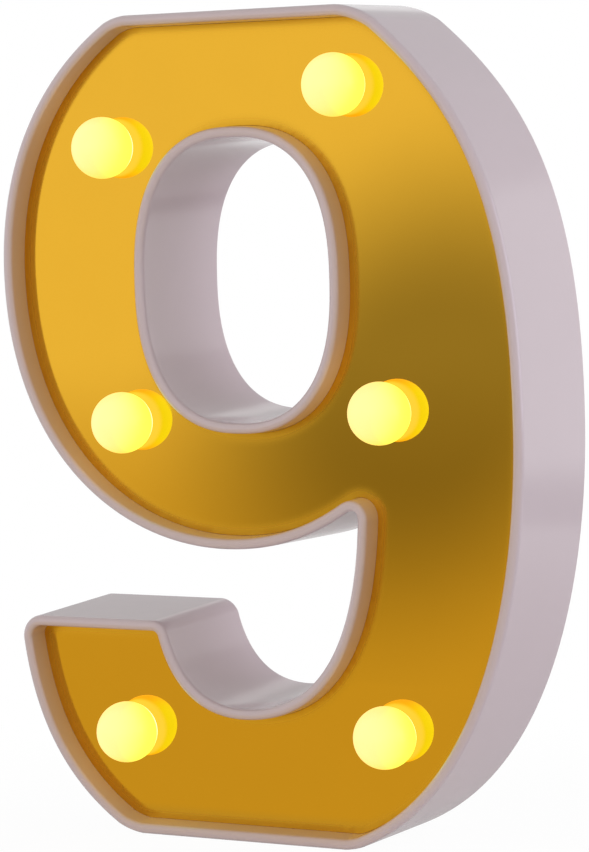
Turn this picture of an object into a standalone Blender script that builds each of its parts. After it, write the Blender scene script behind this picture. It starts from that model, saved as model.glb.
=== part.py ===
"""Light up marquee number nine: a moulded tray with a mirror face, six ball bulbs,
a screwed back cover with a battery box, and a slide switch.

The number stands upright: X runs to the viewer's right, the face looks along -Y and Z is up.
Depths are measured backwards from the front of the rim.
"""
import math

import bmesh
import bpy
from mathutils import Matrix, Vector
from mathutils.geometry import interpolate_bezier

mm = 0.001

# Overall sizes
OVERALL_HEIGHT = 220 * mm
OVERALL_WIDTH = 154 * mm
BODY_DEPTH = 40 * mm

# Fits
CLEARANCE = 0.3 * mm
OVERCUT = 1 * mm
MERGE_DISTANCE = 0.01 * mm

# Moulded front shell
WALL_DRAFT = 1.0 * mm
RIM_WIDTH = 2.8 * mm
RIM_ROUND = 1.5 * mm
RIM_INNER_ROUND = 1.2 * mm
RECESS_DRAFT = 0.5 * mm
FACE_RECESS = 6.8 * mm
FLOOR_THICKNESS = 2.0 * mm
SIDE_WALL = 2.6 * mm
COVER_LIP_WALL = 1.2 * mm
BOSS_RADIUS = 3.3 * mm

# Roundings where two stretches of the outline meet, as the length taken off each stretch
TOP_LEFT_ROUND = 3.8 * mm
TOP_RIGHT_ROUND = 7 * mm
BASE_RIGHT_ROUND = 3 * mm
BASE_LEFT_ROUND = 4.5 * mm
HOOK_TIP_ROUND = 6.5 * mm
HOOK_SHOULDER_ROUND = 3.6 * mm
NOTCH_ROUND = 4.7 * mm
CORNER_REACH_SHARE = 0.55

# Strokes of the numeral round the counter, the oblong hole through the upper bowl
STROKE_LEFT = 43.7 * mm
STROKE_RIGHT = 53.3 * mm
STROKE_TOP = 32.9 * mm
STROKE_BOTTOM = 33.4 * mm
COUNTER_SQUARENESS = 2.44

# Mirror face
FACE_THICKNESS = 1.0 * mm

# Ball bulbs and their diodes
BALL_RADIUS = 8.2 * mm
BALL_STANDOFF = 5.4 * mm
BALL_WALL = 1.2 * mm
SPIGOT_RADIUS = 4.6 * mm
SPIGOT_BEAD = 0.6 * mm
SPIGOT_BEAD_WIDTH = 1.0 * mm
SPIGOT_TAIL = 0.6 * mm
LED_RADIUS = 2.5 * mm
LED_FLANGE_RADIUS = 2.9 * mm
LED_FLANGE_HEIGHT = 1.0 * mm
LED_HEIGHT = 8.6 * mm

# Back cover and its screws
COVER_THICKNESS = 2.2 * mm
SCREW_RADIUS = 1.3 * mm
SCREW_LENGTH = 10 * mm
SCREW_TIP = 1.5 * mm
SCREW_HEAD_RADIUS = 2.5 * mm
SCREW_HEAD_HEIGHT = 1.2 * mm
SCREW_HEAD_SINK = 0.2 * mm
SCREW_HEAD_FLAT_SHARE = 0.6
BOX_SCREW_SHARE = 0.87
BOX_SCREW_GAP = 2.4 * mm

# Hanging keyholes
KEYHOLE_DROP = 20 * mm
KEYHOLE_SPACING = 40 * mm
KEYHOLE_RADIUS = 4.2 * mm
KEYHOLE_SLOT_RADIUS = 2.2 * mm
KEYHOLE_RISE = 7 * mm

# Cells, type AA
CELL_RADIUS = 7.1 * mm
CELL_LENGTH = 50.5 * mm
CELL_NUB_RADIUS = 2.75 * mm
CELL_NUB_HEIGHT = 1.3 * mm
CELL_EDGE = 0.6 * mm
CELL_GAP = 0.6 * mm

# Battery box. The share places the middle of its base.
BOX_SHARE = (0.668, 1 / 3)
BOX_WALL = 1.6 * mm
BOX_FLOOR = 1.5 * mm
DOOR_LEDGE = 1.2 * mm
DOOR_THICKNESS = 2.0 * mm

# Contacts
CONTACT_THICKNESS = 0.5 * mm
CONTACT_SIZE = 9 * mm
CONTACT_TAB_WIDTH = 3 * mm
CONTACT_TAB_REACH = 3 * mm
SPRING_LENGTH = 5.5 * mm
SPRING_RADIUS = 2.9 * mm
SPRING_WIRE = 0.3 * mm
SPRING_TURNS = 3.5

# Battery door
TONGUE_WIDTH = 6 * mm
TONGUE_REACH = 1.8 * mm
TONGUE_THICKNESS = 1.2 * mm
TONGUE_SPACING = 18 * mm
LATCH_WIDTH = 9 * mm
LATCH_LENGTH = 10 * mm
LATCH_SLIT = 0.9 * mm
LATCH_GRIP = 0.5 * mm
LATCH_GRIP_LINES = 3
NOTCH_RADIUS = 6 * mm
NOTCH_DEPTH = 1.4 * mm

# Slide switch. The share places the middle of its travel.
SWITCH_SHARE = (0.605, 0.219)
SWITCH_TRAVEL = 3 * mm
KNOB_LENGTH = 3.2 * mm
KNOB_HEIGHT = 3.0 * mm
SLIDER_LENGTH = 5.2 * mm
SLIDER_HEIGHT = 4.4 * mm
SLIDER_THICKNESS = 1.2 * mm
SWITCH_BODY_LENGTH = 12.6 * mm
SWITCH_BODY_HEIGHT = 6.8 * mm
SWITCH_BODY_DEPTH = 5.4 * mm
SWITCH_EAR_LENGTH = 20.6 * mm
SWITCH_EAR_HEIGHT = 3.6 * mm
SWITCH_EAR_THICKNESS = 0.9 * mm
SWITCH_PIN_SPACING = 3 * mm
SWITCH_PIN_WIDTH = 1.0 * mm
SWITCH_PIN_REACH = 2.6 * mm
STAKE_RADIUS = 0.9 * mm
STAKE_HEAD_RADIUS = 1.5 * mm
STAKE_HEAD_HEIGHT = 0.8 * mm
STAKE_SPACING = 16.6 * mm
SWITCH_POCKET_LENGTH = 14 * mm
SWITCH_POCKET_HEIGHT = 8 * mm
SWITCH_POCKET_DEPTH = 1.0 * mm

# Leads
LEAD_RADIUS = 0.8 * mm
LEAD_STEP = 5.2 * mm
LEAD_PITCH_RADIUS = 1.3 * mm
LEAD_PLACES = 3
LEAD_LIFT = 1.3 * mm
LEAD_STANDOFF = 7.3 * mm

# Facets
OUTLINE_TURN = math.radians(7.5)
SHARP_TURN = math.radians(30)
CURVE_SAMPLES = 96
COUNTER_STEPS = 44
RIM_STEPS = 3
RIM_INNER_STEPS = 2
BALL_SIDES = 16
BALL_STEPS = 8
BALL_INNER_STEPS = 4
LED_SIDES = 12
LED_STEPS = 3
CELL_SIDES = 18
LARGE_HOLE_SIDES = 20
BOSS_SIDES = 12
SMALL_ROD_SIDES = 10
SPRING_TURN_POINTS = 9
ROUTE_SAMPLES = 16

# Plan sizes that follow from the sizes above
HALF_WIDTH = OVERALL_WIDTH / 2 - WALL_DRAFT
FRONT_HEIGHT = OVERALL_HEIGHT - WALL_DRAFT
BOWL_BASE_SHARE = 0.356
COUNTER_LEFT = STROKE_LEFT - HALF_WIDTH
COUNTER_RIGHT = HALF_WIDTH - STROKE_RIGHT
COUNTER_TOP = FRONT_HEIGHT - STROKE_TOP
COUNTER_BASE = BOWL_BASE_SHARE * FRONT_HEIGHT + STROKE_BOTTOM
KEYHOLE_HEIGHT = OVERALL_HEIGHT - KEYHOLE_DROP
BOX_CENTRE_X = BOX_SHARE[0] * HALF_WIDTH
BOX_BASE_Z = BOX_SHARE[1] * FRONT_HEIGHT
SWITCH_X = SWITCH_SHARE[0] * HALF_WIDTH
SWITCH_Z = SWITCH_SHARE[1] * FRONT_HEIGHT

# Depths that follow from the sizes above
FLOOR_FRONT = FACE_RECESS + FACE_THICKNESS + CLEARANCE
FLOOR_BACK = FLOOR_FRONT + FLOOR_THICKNESS
COVER_FRONT = BODY_DEPTH - COVER_THICKNESS
LEDGE_DEPTH = COVER_FRONT - CLEARANCE
BALL_CENTRE = FACE_RECESS - BALL_STANDOFF
BALL_PROUD = BALL_RADIUS - BALL_CENTRE
FRONT_Y = BALL_PROUD - (BODY_DEPTH + BALL_PROUD) / 2
BORE_RADIUS = LED_FLANGE_RADIUS + CLEARANCE
LED_BASE = FLOOR_BACK + CLEARANCE + SPIGOT_BEAD_WIDTH + SPIGOT_TAIL
LEAD_FLOOR = FLOOR_BACK + CLEARANCE + LEAD_RADIUS

# Plan sizes of the battery box
POCKET_WIDTH = 4 * CELL_RADIUS + 3 * CELL_GAP
CONTACT_SPACE = CLEARANCE + CONTACT_THICKNESS + CLEARANCE
POCKET_LENGTH = 2 * CONTACT_SPACE + CELL_LENGTH + CLEARANCE + SPRING_LENGTH
DOOR_WIDTH = POCKET_WIDTH + 2 * DOOR_LEDGE
DOOR_LENGTH = POCKET_LENGTH + 2 * DOOR_LEDGE
BOX_WIDTH = DOOR_WIDTH + 2 * (CLEARANCE + BOX_WALL)
BOX_LENGTH = DOOR_LENGTH + 2 * (CLEARANCE + BOX_WALL)
DOOR_BASE_Z = BOX_BASE_Z + BOX_WALL + CLEARANCE
DOOR_TOP_Z = DOOR_BASE_Z + DOOR_LENGTH
POCKET_BASE_Z = DOOR_BASE_Z + DOOR_LEDGE
POCKET_TOP_Z = POCKET_BASE_Z + POCKET_LENGTH
DOOR_SEAT = BODY_DEPTH - DOOR_THICKNESS - CLEARANCE
CELL_DEPTH = DOOR_SEAT - CELL_GAP / 2 - CELL_RADIUS
POCKET_FLOOR = CELL_DEPTH - CELL_RADIUS - CELL_GAP / 2
CELL_OFFSET = CELL_RADIUS + CELL_GAP / 2

# The outline of the nine at the front of the outer wall, clockwise from the top left corner.
# Each stretch has the rounding at its start and the points after its start: one for a straight
# stretch, two handles and an end for a curved one. The points are shares of half the width and
# of the height.
START_SHARE = (-0.521, 1.0)
STRETCH_SHARES = (
    # flat top
    (TOP_LEFT_ROUND, ((0.425, 1.0),)),
    # right shoulder and right side
    (TOP_RIGHT_ROUND, ((0.801, 0.896), (1.0, 0.787), (1.0, 0.502))),
    (0, ((1.0, 0.329), (0.876, 0.070), (0.336, 0.0))),
    # flat base
    (BASE_RIGHT_ROUND, ((-0.544, 0.0),)),
    # left side of the hook and its flat tip
    (BASE_LEFT_ROUND, ((-0.813, 0.055), (-0.947, 0.140), (-0.975, 0.265))),
    (HOOK_TIP_ROUND, ((-0.384, 0.265),)),
    # inside of the hook and left side of the stem
    (HOOK_SHOULDER_ROUND, ((-0.350, 0.200), (-0.246, 0.162), (-0.078, 0.162))),
    (0, ((0.153, 0.162), (0.371, 0.212), (0.386, 0.415))),
    # underside and left side of the bowl
    (NOTCH_ROUND, ((0.215, 0.371), (0.048, BOWL_BASE_SHARE), (-0.124, BOWL_BASE_SHARE))),
    (0, ((-0.565, BOWL_BASE_SHARE), (-1.0, 0.470), (-1.0, 0.696))),
    (0, ((-1.0, 0.818), (-0.853, 0.931), START_SHARE)),
)

# Centres of the six bulbs, as shares of half the width and of the height
BULB_SHARES = (
    (-0.580, 0.842),
    (0.330, 0.907),
    (-0.534, 0.507),
    (0.472, 0.522),
    (-0.552, 0.125),
    (0.463, 0.138),
)

# Centres of the cover screws, as shares of half the width and of the height. One more screw
# stands over the battery box.
SCREW_SHARES = (
    (0.0, 0.945),
    (0.75, 0.813),
    (-0.83, 0.685),
    (-0.10, 0.425),
    (0.805, 0.272),
    (-0.79, 0.205),
    (-0.08, 0.078),
)

# Colours as red, green and blue, with roughness and metallic
SHELL_FINISH = ((0.80, 0.77, 0.78), 0.25, 0.0)
MIRROR_FINISH = ((0.83, 0.52, 0.07), 0.08, 1.0)
BULB_FINISH = ((1.0, 0.93, 0.45), 0.45, 0.0)
LED_FINISH = ((1.0, 0.86, 0.45), 0.15, 0.0)
STEEL_FINISH = ((0.62, 0.61, 0.59), 0.3, 1.0)
CELL_FINISH = ((0.10, 0.10, 0.11), 0.35, 0.0)
SWITCH_FINISH = ((0.04, 0.04, 0.04), 0.4, 0.0)
LEAD_FINISH = ((0.55, 0.03, 0.03), 0.45, 0.0)


def clear_scene():
    for item in list(bpy.data.objects):
        bpy.data.objects.remove(item, do_unlink=True)


def make_collection(name):
    collection = bpy.data.collections.new(name)
    bpy.context.scene.collection.children.link(collection)
    return collection


def finish(name, look):
    colour, roughness, metallic = look
    material = bpy.data.materials.new(name)
    material.use_nodes = True
    shader = material.node_tree.nodes["Principled BSDF"]
    shader.inputs["Base Color"].default_value = (*colour, 1.0)
    shader.inputs["Roughness"].default_value = roughness
    shader.inputs["Metallic"].default_value = metallic
    return material


def place(name, data, look=None, location=(0, 0, 0), rotation=(0, 0, 0)):
    """Add an object: a part where it has a finish, otherwise a hidden cutter."""
    item = bpy.data.objects.new(name, data)
    item.location = location
    item.rotation_euler = rotation
    if look is None:
        CUTTERS.objects.link(item)
        item.hide_render = True
        item.display_type = 'WIRE'
        return item
    PARTS.objects.link(item)
    data.materials.append(finish(name + "_finish", look))
    return item


def modify(target, other, operation):
    modifier = target.modifiers.new(operation.lower() + "_" + other.name, 'BOOLEAN')
    modifier.operation = operation
    modifier.solver = 'EXACT'
    modifier.object = other


def cut(target, *cutters):
    for cutter in cutters:
        modify(target, cutter, 'DIFFERENCE')


def join(target, *additions):
    for addition in additions:
        modify(target, addition, 'UNION')


def from_bmesh(name, mesh_builder):
    bmesh.ops.recalc_face_normals(mesh_builder, faces=mesh_builder.faces)
    data = bpy.data.meshes.new(name)
    mesh_builder.to_mesh(data)
    mesh_builder.free()
    data.shade_smooth()
    data.set_sharp_from_angle(angle=SHARP_TURN)
    return data


def y_at(depth):
    return FRONT_Y + depth


def lean(depth):
    """How far the drafted walls have moved out at a depth."""
    return WALL_DRAFT * depth / BODY_DEPTH


def at_share(share):
    return Vector((share[0] * HALF_WIDTH, share[1] * FRONT_HEIGHT))


def trimmed(points, start_length, end_length):
    """A polyline without a length at each end."""
    for length in (start_length, end_length):
        left = length
        points = list(points)
        while left > 0:
            step = (points[1] - points[0]).length
            if step > left:
                points[0] = points[0].lerp(points[1], left / step)
                left = 0
            else:
                left -= step
                points.pop(0)
        points.reverse()
    return points


def turn_between(first, last):
    return abs(first.angle_signed(last))


def thinned(points):
    """The points of a dense curve that its turning needs."""
    if len(points) < 3:
        return points
    turn = 0
    for before, here, after in zip(points, points[1:], points[2:]):
        turn += turn_between(here - before, after - here)
    steps = max(1, math.ceil(turn / OUTLINE_TURN))
    last = len(points) - 1
    return [points[round(last * step / steps)] for step in range(steps + 1)]


def with_mitres(points, sign):
    """Pair each point of a closed clockwise outline with its outward mitre.

    The sign says which way the material lies: 1 outside the outline, -1 inside it.
    """
    outline = []
    count = len(points)
    for index, point in enumerate(points):
        before = (point - points[index - 1]).normalized()
        after = (points[(index + 1) % count] - point).normalized()
        first = Vector((-before.y, before.x))
        second = Vector((-after.y, after.x))
        outline.append((point, (first + second) / (1 + first.dot(second))))
    return outline, sign


def number_outline():
    """The nine's outline: its stretches, with a rounded corner where they meet at an angle."""
    stretches = []
    start = at_share(START_SHARE)
    for rounding, shares in STRETCH_SHARES:
        ends = [at_share(share) for share in shares]
        if len(ends) == 1:
            points = [start, ends[0]]
        else:
            points = interpolate_bezier(start, *ends, CURVE_SAMPLES)
        stretches.append((rounding, points))
        start = ends[-1]
    points = []
    for index, (rounding, stretch) in enumerate(stretches):
        next_rounding = stretches[(index + 1) % len(stretches)][0]
        run = thinned(trimmed(stretch, rounding, next_rounding))
        previous_rounding, previous = stretches[index - 1]
        if rounding:
            corner = stretch[0]
            last = trimmed(previous, previous_rounding, rounding)[-1]
            curve = interpolate_bezier(
                last, last.lerp(corner, CORNER_REACH_SHARE),
                run[0].lerp(corner, CORNER_REACH_SHARE), run[0], CURVE_SAMPLES)
            points.extend(thinned(curve)[1:-1])
        points.extend(run if next_rounding else run[:-1])
    return with_mitres(points, -1)


def counter_outline():
    """The counter's outline, an ellipse with squared shoulders."""
    power = 2 / COUNTER_SQUARENESS
    middle = Vector((COUNTER_LEFT + COUNTER_RIGHT, COUNTER_BASE + COUNTER_TOP)) / 2
    reach = Vector((COUNTER_RIGHT - COUNTER_LEFT, COUNTER_TOP - COUNTER_BASE)) / 2
    points = []
    for step in range(COUNTER_STEPS):
        angle = -2 * math.pi * step / COUNTER_STEPS
        across = math.copysign(abs(math.cos(angle)) ** power, math.cos(angle))
        up = math.copysign(abs(math.sin(angle)) ** power, math.sin(angle))
        points.append(middle + Vector((across * reach.x, up * reach.y)))
    return with_mitres(points, 1)


def ring(outline, inset, depth):
    """An outline moved into the material from the drafted wall. The base has no draft."""
    points, sign = outline
    shift = sign * (inset - lean(depth))
    placed = []
    for point, mitre in points:
        moved = point + mitre * shift
        placed.append(Vector((moved.x, y_at(depth), max(moved.y, inset))))
    return placed


def loft(name, outline, rings, look=None):
    """A closed solid through rings of an outline, each an inset and a depth."""
    build = bmesh.new()
    loops = []
    for inset, depth in rings:
        loops.append([build.verts.new(point) for point in ring(outline, inset, depth)])
    count = len(loops[0])
    for near, far in zip(loops, loops[1:]):
        for index in range(count):
            following = (index + 1) % count
            build.faces.new((near[index], near[following], far[following], far[index]))
    build.faces.new(loops[0])
    build.faces.new(loops[-1])
    return place(name, from_bmesh(name, build), look)


def block(name, x_span, depth_span, z_span, look=None, origin=(0, 0, 0)):
    """A box between two x, two depths and two heights."""
    low = Vector((x_span[0], y_at(depth_span[0]), z_span[0]))
    high = Vector((x_span[1], y_at(depth_span[1]), z_span[1]))
    build = bmesh.new()
    bmesh.ops.create_cube(build, size=1)
    size = high - low
    middle = (low + high) / 2 - Vector(origin)
    bmesh.ops.transform(
        build, matrix=Matrix.Translation(middle) @ Matrix.Diagonal((*size, 1)), verts=build.verts)
    return place(name, from_bmesh(name, build), look, origin)


def around(centre, size):
    return (centre - size / 2, centre + size / 2)


def rod(name, centre, depth_span, radius, sides, look=None):
    """A cylinder along the depth, at an x and a height."""
    build = bmesh.new()
    bmesh.ops.create_cone(
        build, cap_ends=True, segments=sides, radius1=radius, radius2=radius,
        depth=depth_span[1] - depth_span[0])
    middle = (centre[0], y_at(sum(depth_span) / 2), centre[1])
    data = from_bmesh(name, build)
    return place(name, data, look, middle, (math.pi / 2, 0, 0))


def turned(name, profile, steps, look, location, rotation):
    """A turned piece. The profile holds radius and height, down the outer side."""
    data = bpy.data.meshes.new(name)
    points = [(radius, 0, height) for radius, height in profile]
    edges = [(index, index + 1) for index in range(len(points) - 1)]
    data.from_pydata(points, edges, [])
    item = place(name, data, look, location, rotation)
    screw = item.modifiers.new("turn", 'SCREW')
    screw.axis = 'Z'
    screw.steps = steps
    screw.render_steps = steps
    screw.use_merge_vertices = True
    screw.merge_threshold = MERGE_DISTANCE
    return item


def arc(radius, centre_height, start, end, steps):
    """Profile points on a circle about the axis, from one angle off the axis to another."""
    points = []
    for step in range(steps + 1):
        angle = start + (end - start) * step / steps
        points.append((radius * math.sin(angle), centre_height + radius * math.cos(angle)))
    return points


def tube(name, points, radius, resolution, look):
    curve = bpy.data.curves.new(name, 'CURVE')
    curve.dimensions = '3D'
    curve.bevel_depth = radius
    curve.bevel_resolution = resolution
    curve.use_fill_caps = True
    spline = curve.splines.new('POLY')
    spline.points.add(len(points) - 1)
    for spot, point in zip(spline.points, points):
        spot.co = (*point, 1)
    return place(name, curve, look)


FACING_FRONT = (math.pi / 2, 0, 0)
FACING_BACK = (-math.pi / 2, 0, 0)


def rim_rings():
    """The rounded outer edge of the rim, from the drafted wall to the flat front."""
    rings = []
    for step in range(RIM_STEPS + 1):
        angle = math.pi / 2 * step / RIM_STEPS
        inset = RIM_ROUND * (1 - math.cos(angle))
        rings.append((inset, RIM_ROUND * (1 - math.sin(angle))))
    return rings


def rim_inner_rings():
    """The rounded inner edge of the rim, from the flat front to the recess wall."""
    rings = []
    for step in range(RIM_INNER_STEPS + 1):
        angle = math.pi / 2 * step / RIM_INNER_STEPS
        inset = RIM_WIDTH - RIM_INNER_ROUND * (1 - math.sin(angle))
        rings.append((inset, RIM_INNER_ROUND * (1 - math.cos(angle))))
    return rings


def make_front_shell(number, counter, bulbs, screws):
    shell = loft("front_shell", number, [(0, BODY_DEPTH)] + rim_rings(), SHELL_FINISH)

    # the recess that holds the mirror face, and the hollow behind its floor
    recess_rings = [(RIM_WIDTH - RIM_INNER_ROUND, -OVERCUT)] + rim_inner_rings()
    recess_rings += [(RIM_WIDTH + RECESS_DRAFT, FLOOR_FRONT)]
    hollow_rings = [
        (SIDE_WALL, FLOOR_BACK),
        (SIDE_WALL, LEDGE_DEPTH),
        (COVER_LIP_WALL, LEDGE_DEPTH),
        (COVER_LIP_WALL, BODY_DEPTH + OVERCUT),
    ]
    cut(shell, loft("recess_cutter", number, recess_rings))
    cut(shell, loft("hollow_cutter", number, hollow_rings))

    # the wall around the counter, with the same rim
    floor_middle = (FLOOR_FRONT + FLOOR_BACK) / 2
    plug_rings = recess_rings[1:-1]
    plug_rings += [(RIM_WIDTH + RECESS_DRAFT, floor_middle), (SIDE_WALL, floor_middle)]
    plug_rings += hollow_rings[1:-1] + [(COVER_LIP_WALL, BODY_DEPTH)]
    join(shell, loft("counter_wall", counter, plug_rings))
    bore_rings = [(0, BODY_DEPTH + OVERCUT)] + rim_rings() + [(RIM_ROUND, -OVERCUT)]
    cut(shell, loft("counter_cutter", counter, bore_rings))

    for index, centre in enumerate(bulbs, 1):
        span = (FLOOR_FRONT - OVERCUT, FLOOR_BACK + OVERCUT)
        hole_radius = SPIGOT_RADIUS + CLEARANCE
        cut(shell, rod(f"bulb_hole_{index}", centre, span, hole_radius, LARGE_HOLE_SIDES))

    # screw bosses, bored for the cover screws
    boss = (floor_middle, LEDGE_DEPTH)
    bore = (LEDGE_DEPTH - SCREW_LENGTH - CLEARANCE, LEDGE_DEPTH + OVERCUT)
    bore_radius = SCREW_RADIUS + CLEARANCE
    for index, centre in enumerate(screws, 1):
        join(shell, rod(f"boss_{index}", centre, boss, BOSS_RADIUS, BOSS_SIDES))
        cut(shell, rod(f"boss_bore_{index}", centre, bore, bore_radius, SMALL_ROD_SIDES))
    return shell


def make_face_panel(number, counter, bulbs):
    inset = RIM_WIDTH + RECESS_DRAFT + CLEARANCE
    span = (FACE_RECESS, FACE_RECESS + FACE_THICKNESS)
    face = loft("mirror_face", number, [(inset, depth) for depth in span], MIRROR_FINISH)
    hole = (FACE_RECESS - OVERCUT, FACE_RECESS + FACE_THICKNESS + OVERCUT)
    cut(face, loft("face_counter", counter, [(inset, depth) for depth in hole]))
    for index, centre in enumerate(bulbs, 1):
        hole_radius = SPIGOT_RADIUS + CLEARANCE
        cut(face, rod(f"face_hole_{index}", centre, hole, hole_radius, LARGE_HOLE_SIDES))
    return face


def make_bulbs(bulbs):
    """Hollow frosted balls that snap through the face and floor, each with its diode."""
    shoulder = BALL_STANDOFF - CLEARANCE
    shoulder_angle = math.pi - math.acos(shoulder / BALL_RADIUS)
    inner_radius = BALL_RADIUS - BALL_WALL
    mouth_angle = math.pi - math.asin(BORE_RADIUS / inner_radius)
    bead_start = BALL_CENTRE - FLOOR_BACK - CLEARANCE
    bead_end = bead_start - SPIGOT_BEAD_WIDTH
    tail = bead_end - SPIGOT_TAIL
    ball = arc(BALL_RADIUS, 0, 0, shoulder_angle, BALL_STEPS)
    ball += [(SPIGOT_RADIUS, -shoulder), (SPIGOT_RADIUS, bead_start)]
    ball += [(SPIGOT_RADIUS + SPIGOT_BEAD, bead_start), (SPIGOT_RADIUS, bead_end)]
    ball += [(SPIGOT_RADIUS, tail), (BORE_RADIUS, tail)]
    ball += arc(inner_radius, 0, mouth_angle, 0, BALL_INNER_STEPS)

    led_base = BALL_CENTRE - LED_BASE
    dome = led_base + LED_HEIGHT - LED_RADIUS
    led = arc(LED_RADIUS, dome, 0, math.pi / 2, LED_STEPS)
    led += [(LED_RADIUS, led_base + LED_FLANGE_HEIGHT)]
    led += [(LED_FLANGE_RADIUS, led_base + LED_FLANGE_HEIGHT)]
    led += [(LED_FLANGE_RADIUS, led_base), (0, led_base)]

    for index, centre in enumerate(bulbs, 1):
        spot = (centre[0], y_at(BALL_CENTRE), centre[1])
        turned(f"bulb_{index}", ball, BALL_SIDES, BULB_FINISH, spot, FACING_FRONT)
        turned(f"led_{index}", led, LED_SIDES, LED_FINISH, spot, FACING_FRONT)


def make_back_cover(number, counter, screws):
    inset = COVER_LIP_WALL + CLEARANCE
    plate = (COVER_FRONT, BODY_DEPTH)
    cover = loft("back_cover", number, [(inset, depth) for depth in plate], SHELL_FINISH)
    through = (COVER_FRONT - OVERCUT, BODY_DEPTH + OVERCUT)
    cut(cover, loft("cover_counter", counter, [(inset, depth) for depth in through]))

    # battery box moulded to the inside of the plate
    box_x = around(BOX_CENTRE_X, BOX_WIDTH)
    box_z = (BOX_BASE_Z, BOX_BASE_Z + BOX_LENGTH)
    middle = (COVER_FRONT + BODY_DEPTH) / 2
    join(cover, block("battery_box", box_x, (POCKET_FLOOR - BOX_FLOOR, middle), box_z))
    pocket_x = around(BOX_CENTRE_X, POCKET_WIDTH)
    pocket_z = (POCKET_BASE_Z, POCKET_TOP_Z)
    cut(cover, block("pocket_cutter", pocket_x, (POCKET_FLOOR, BODY_DEPTH + OVERCUT), pocket_z))
    seat_x = around(BOX_CENTRE_X, DOOR_WIDTH + 2 * CLEARANCE)
    seat_z = (DOOR_BASE_Z - CLEARANCE, DOOR_TOP_Z + CLEARANCE)
    cut(cover, block("door_seat_cutter", seat_x, (DOOR_SEAT, BODY_DEPTH + OVERCUT), seat_z))

    # slots for the door's tongues, with room for the tongues to swing
    swing = math.hypot(COVER_THICKNESS + CLEARANCE + TONGUE_THICKNESS, TONGUE_REACH)
    slot_depth = (BODY_DEPTH - swing - CLEARANCE, COVER_FRONT)
    slot_z = (DOOR_BASE_Z - TONGUE_REACH - CLEARANCE, POCKET_BASE_Z + OVERCUT)
    for index, side in enumerate((-1, 1), 1):
        slot_x = around(BOX_CENTRE_X + side * TONGUE_SPACING / 2, TONGUE_WIDTH + 2 * CLEARANCE)
        cut(cover, block(f"tongue_slot_{index}", slot_x, slot_depth, slot_z))

    # slots for the tabs of the two end contacts
    tab_z = (BOX_BASE_Z - OVERCUT, POCKET_BASE_Z + OVERCUT)
    tab_depth = around(CELL_DEPTH, CONTACT_THICKNESS + 2 * CLEARANCE)
    for index, side in enumerate((-1, 1), 1):
        tab_x = around(BOX_CENTRE_X + side * CELL_OFFSET, CONTACT_TAB_WIDTH + 2 * CLEARANCE)
        cut(cover, block(f"tab_slot_{index}", tab_x, tab_depth, tab_z))

    # notch for a fingertip at the latch
    notch_centre = (BOX_CENTRE_X, DOOR_TOP_Z)
    notch = (BODY_DEPTH - NOTCH_DEPTH, BODY_DEPTH + OVERCUT)
    cut(cover, rod("finger_notch", notch_centre, notch, NOTCH_RADIUS, LARGE_HOLE_SIDES))

    # sunk screw holes
    head_seat = BODY_DEPTH - SCREW_HEAD_SINK - SCREW_HEAD_HEIGHT - CLEARANCE
    sunk = (head_seat, BODY_DEPTH + OVERCUT)
    hole_radius = SCREW_RADIUS + CLEARANCE
    seat_radius = SCREW_HEAD_RADIUS + CLEARANCE
    for index, centre in enumerate(screws, 1):
        cut(cover, rod(f"screw_hole_{index}", centre, through, hole_radius, SMALL_ROD_SIDES))
        cut(cover, rod(f"screw_seat_{index}", centre, sunk, seat_radius, BOSS_SIDES))

    # keyholes for hanging: a round hole with a slot rising from it
    for index, side in enumerate((-1, 1), 1):
        x = side * KEYHOLE_SPACING / 2
        top = KEYHOLE_HEIGHT + KEYHOLE_RISE
        entry = (x, KEYHOLE_HEIGHT)
        cut(cover, rod(f"keyhole_{index}", entry, through, KEYHOLE_RADIUS, LARGE_HOLE_SIDES))
        slot_x = around(x, 2 * KEYHOLE_SLOT_RADIUS)
        cut(cover, block(f"keyhole_slot_{index}", slot_x, through, (KEYHOLE_HEIGHT, top)))
        end = (x, top)
        cut(cover, rod(f"keyhole_end_{index}", end, through, KEYHOLE_SLOT_RADIUS, BOSS_SIDES))

    # switch pocket and window, and the stakes that hold the switch
    pocket = (BODY_DEPTH - SWITCH_POCKET_DEPTH, BODY_DEPTH + OVERCUT)
    cut(cover, block(
        "switch_pocket", around(SWITCH_X, SWITCH_POCKET_LENGTH), pocket,
        around(SWITCH_Z, SWITCH_POCKET_HEIGHT)))
    window_x = around(SWITCH_X, KNOB_LENGTH + SWITCH_TRAVEL + 2 * CLEARANCE)
    window_z = around(SWITCH_Z, KNOB_HEIGHT + 2 * CLEARANCE)
    cut(cover, block("switch_window", window_x, through, window_z))
    ear_back = COVER_FRONT - CLEARANCE - SWITCH_EAR_THICKNESS
    head_front = ear_back - CLEARANCE - STAKE_HEAD_HEIGHT
    for index, side in enumerate((-1, 1), 1):
        centre = (SWITCH_X + side * STAKE_SPACING / 2, SWITCH_Z)
        stake = (head_front, middle)
        head = (head_front, head_front + STAKE_HEAD_HEIGHT)
        join(cover, rod(f"stake_{index}", centre, stake, STAKE_RADIUS, SMALL_ROD_SIDES))
        join(cover, rod(f"stake_head_{index}", centre, head, STAKE_HEAD_RADIUS, SMALL_ROD_SIDES))
    return cover


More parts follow.
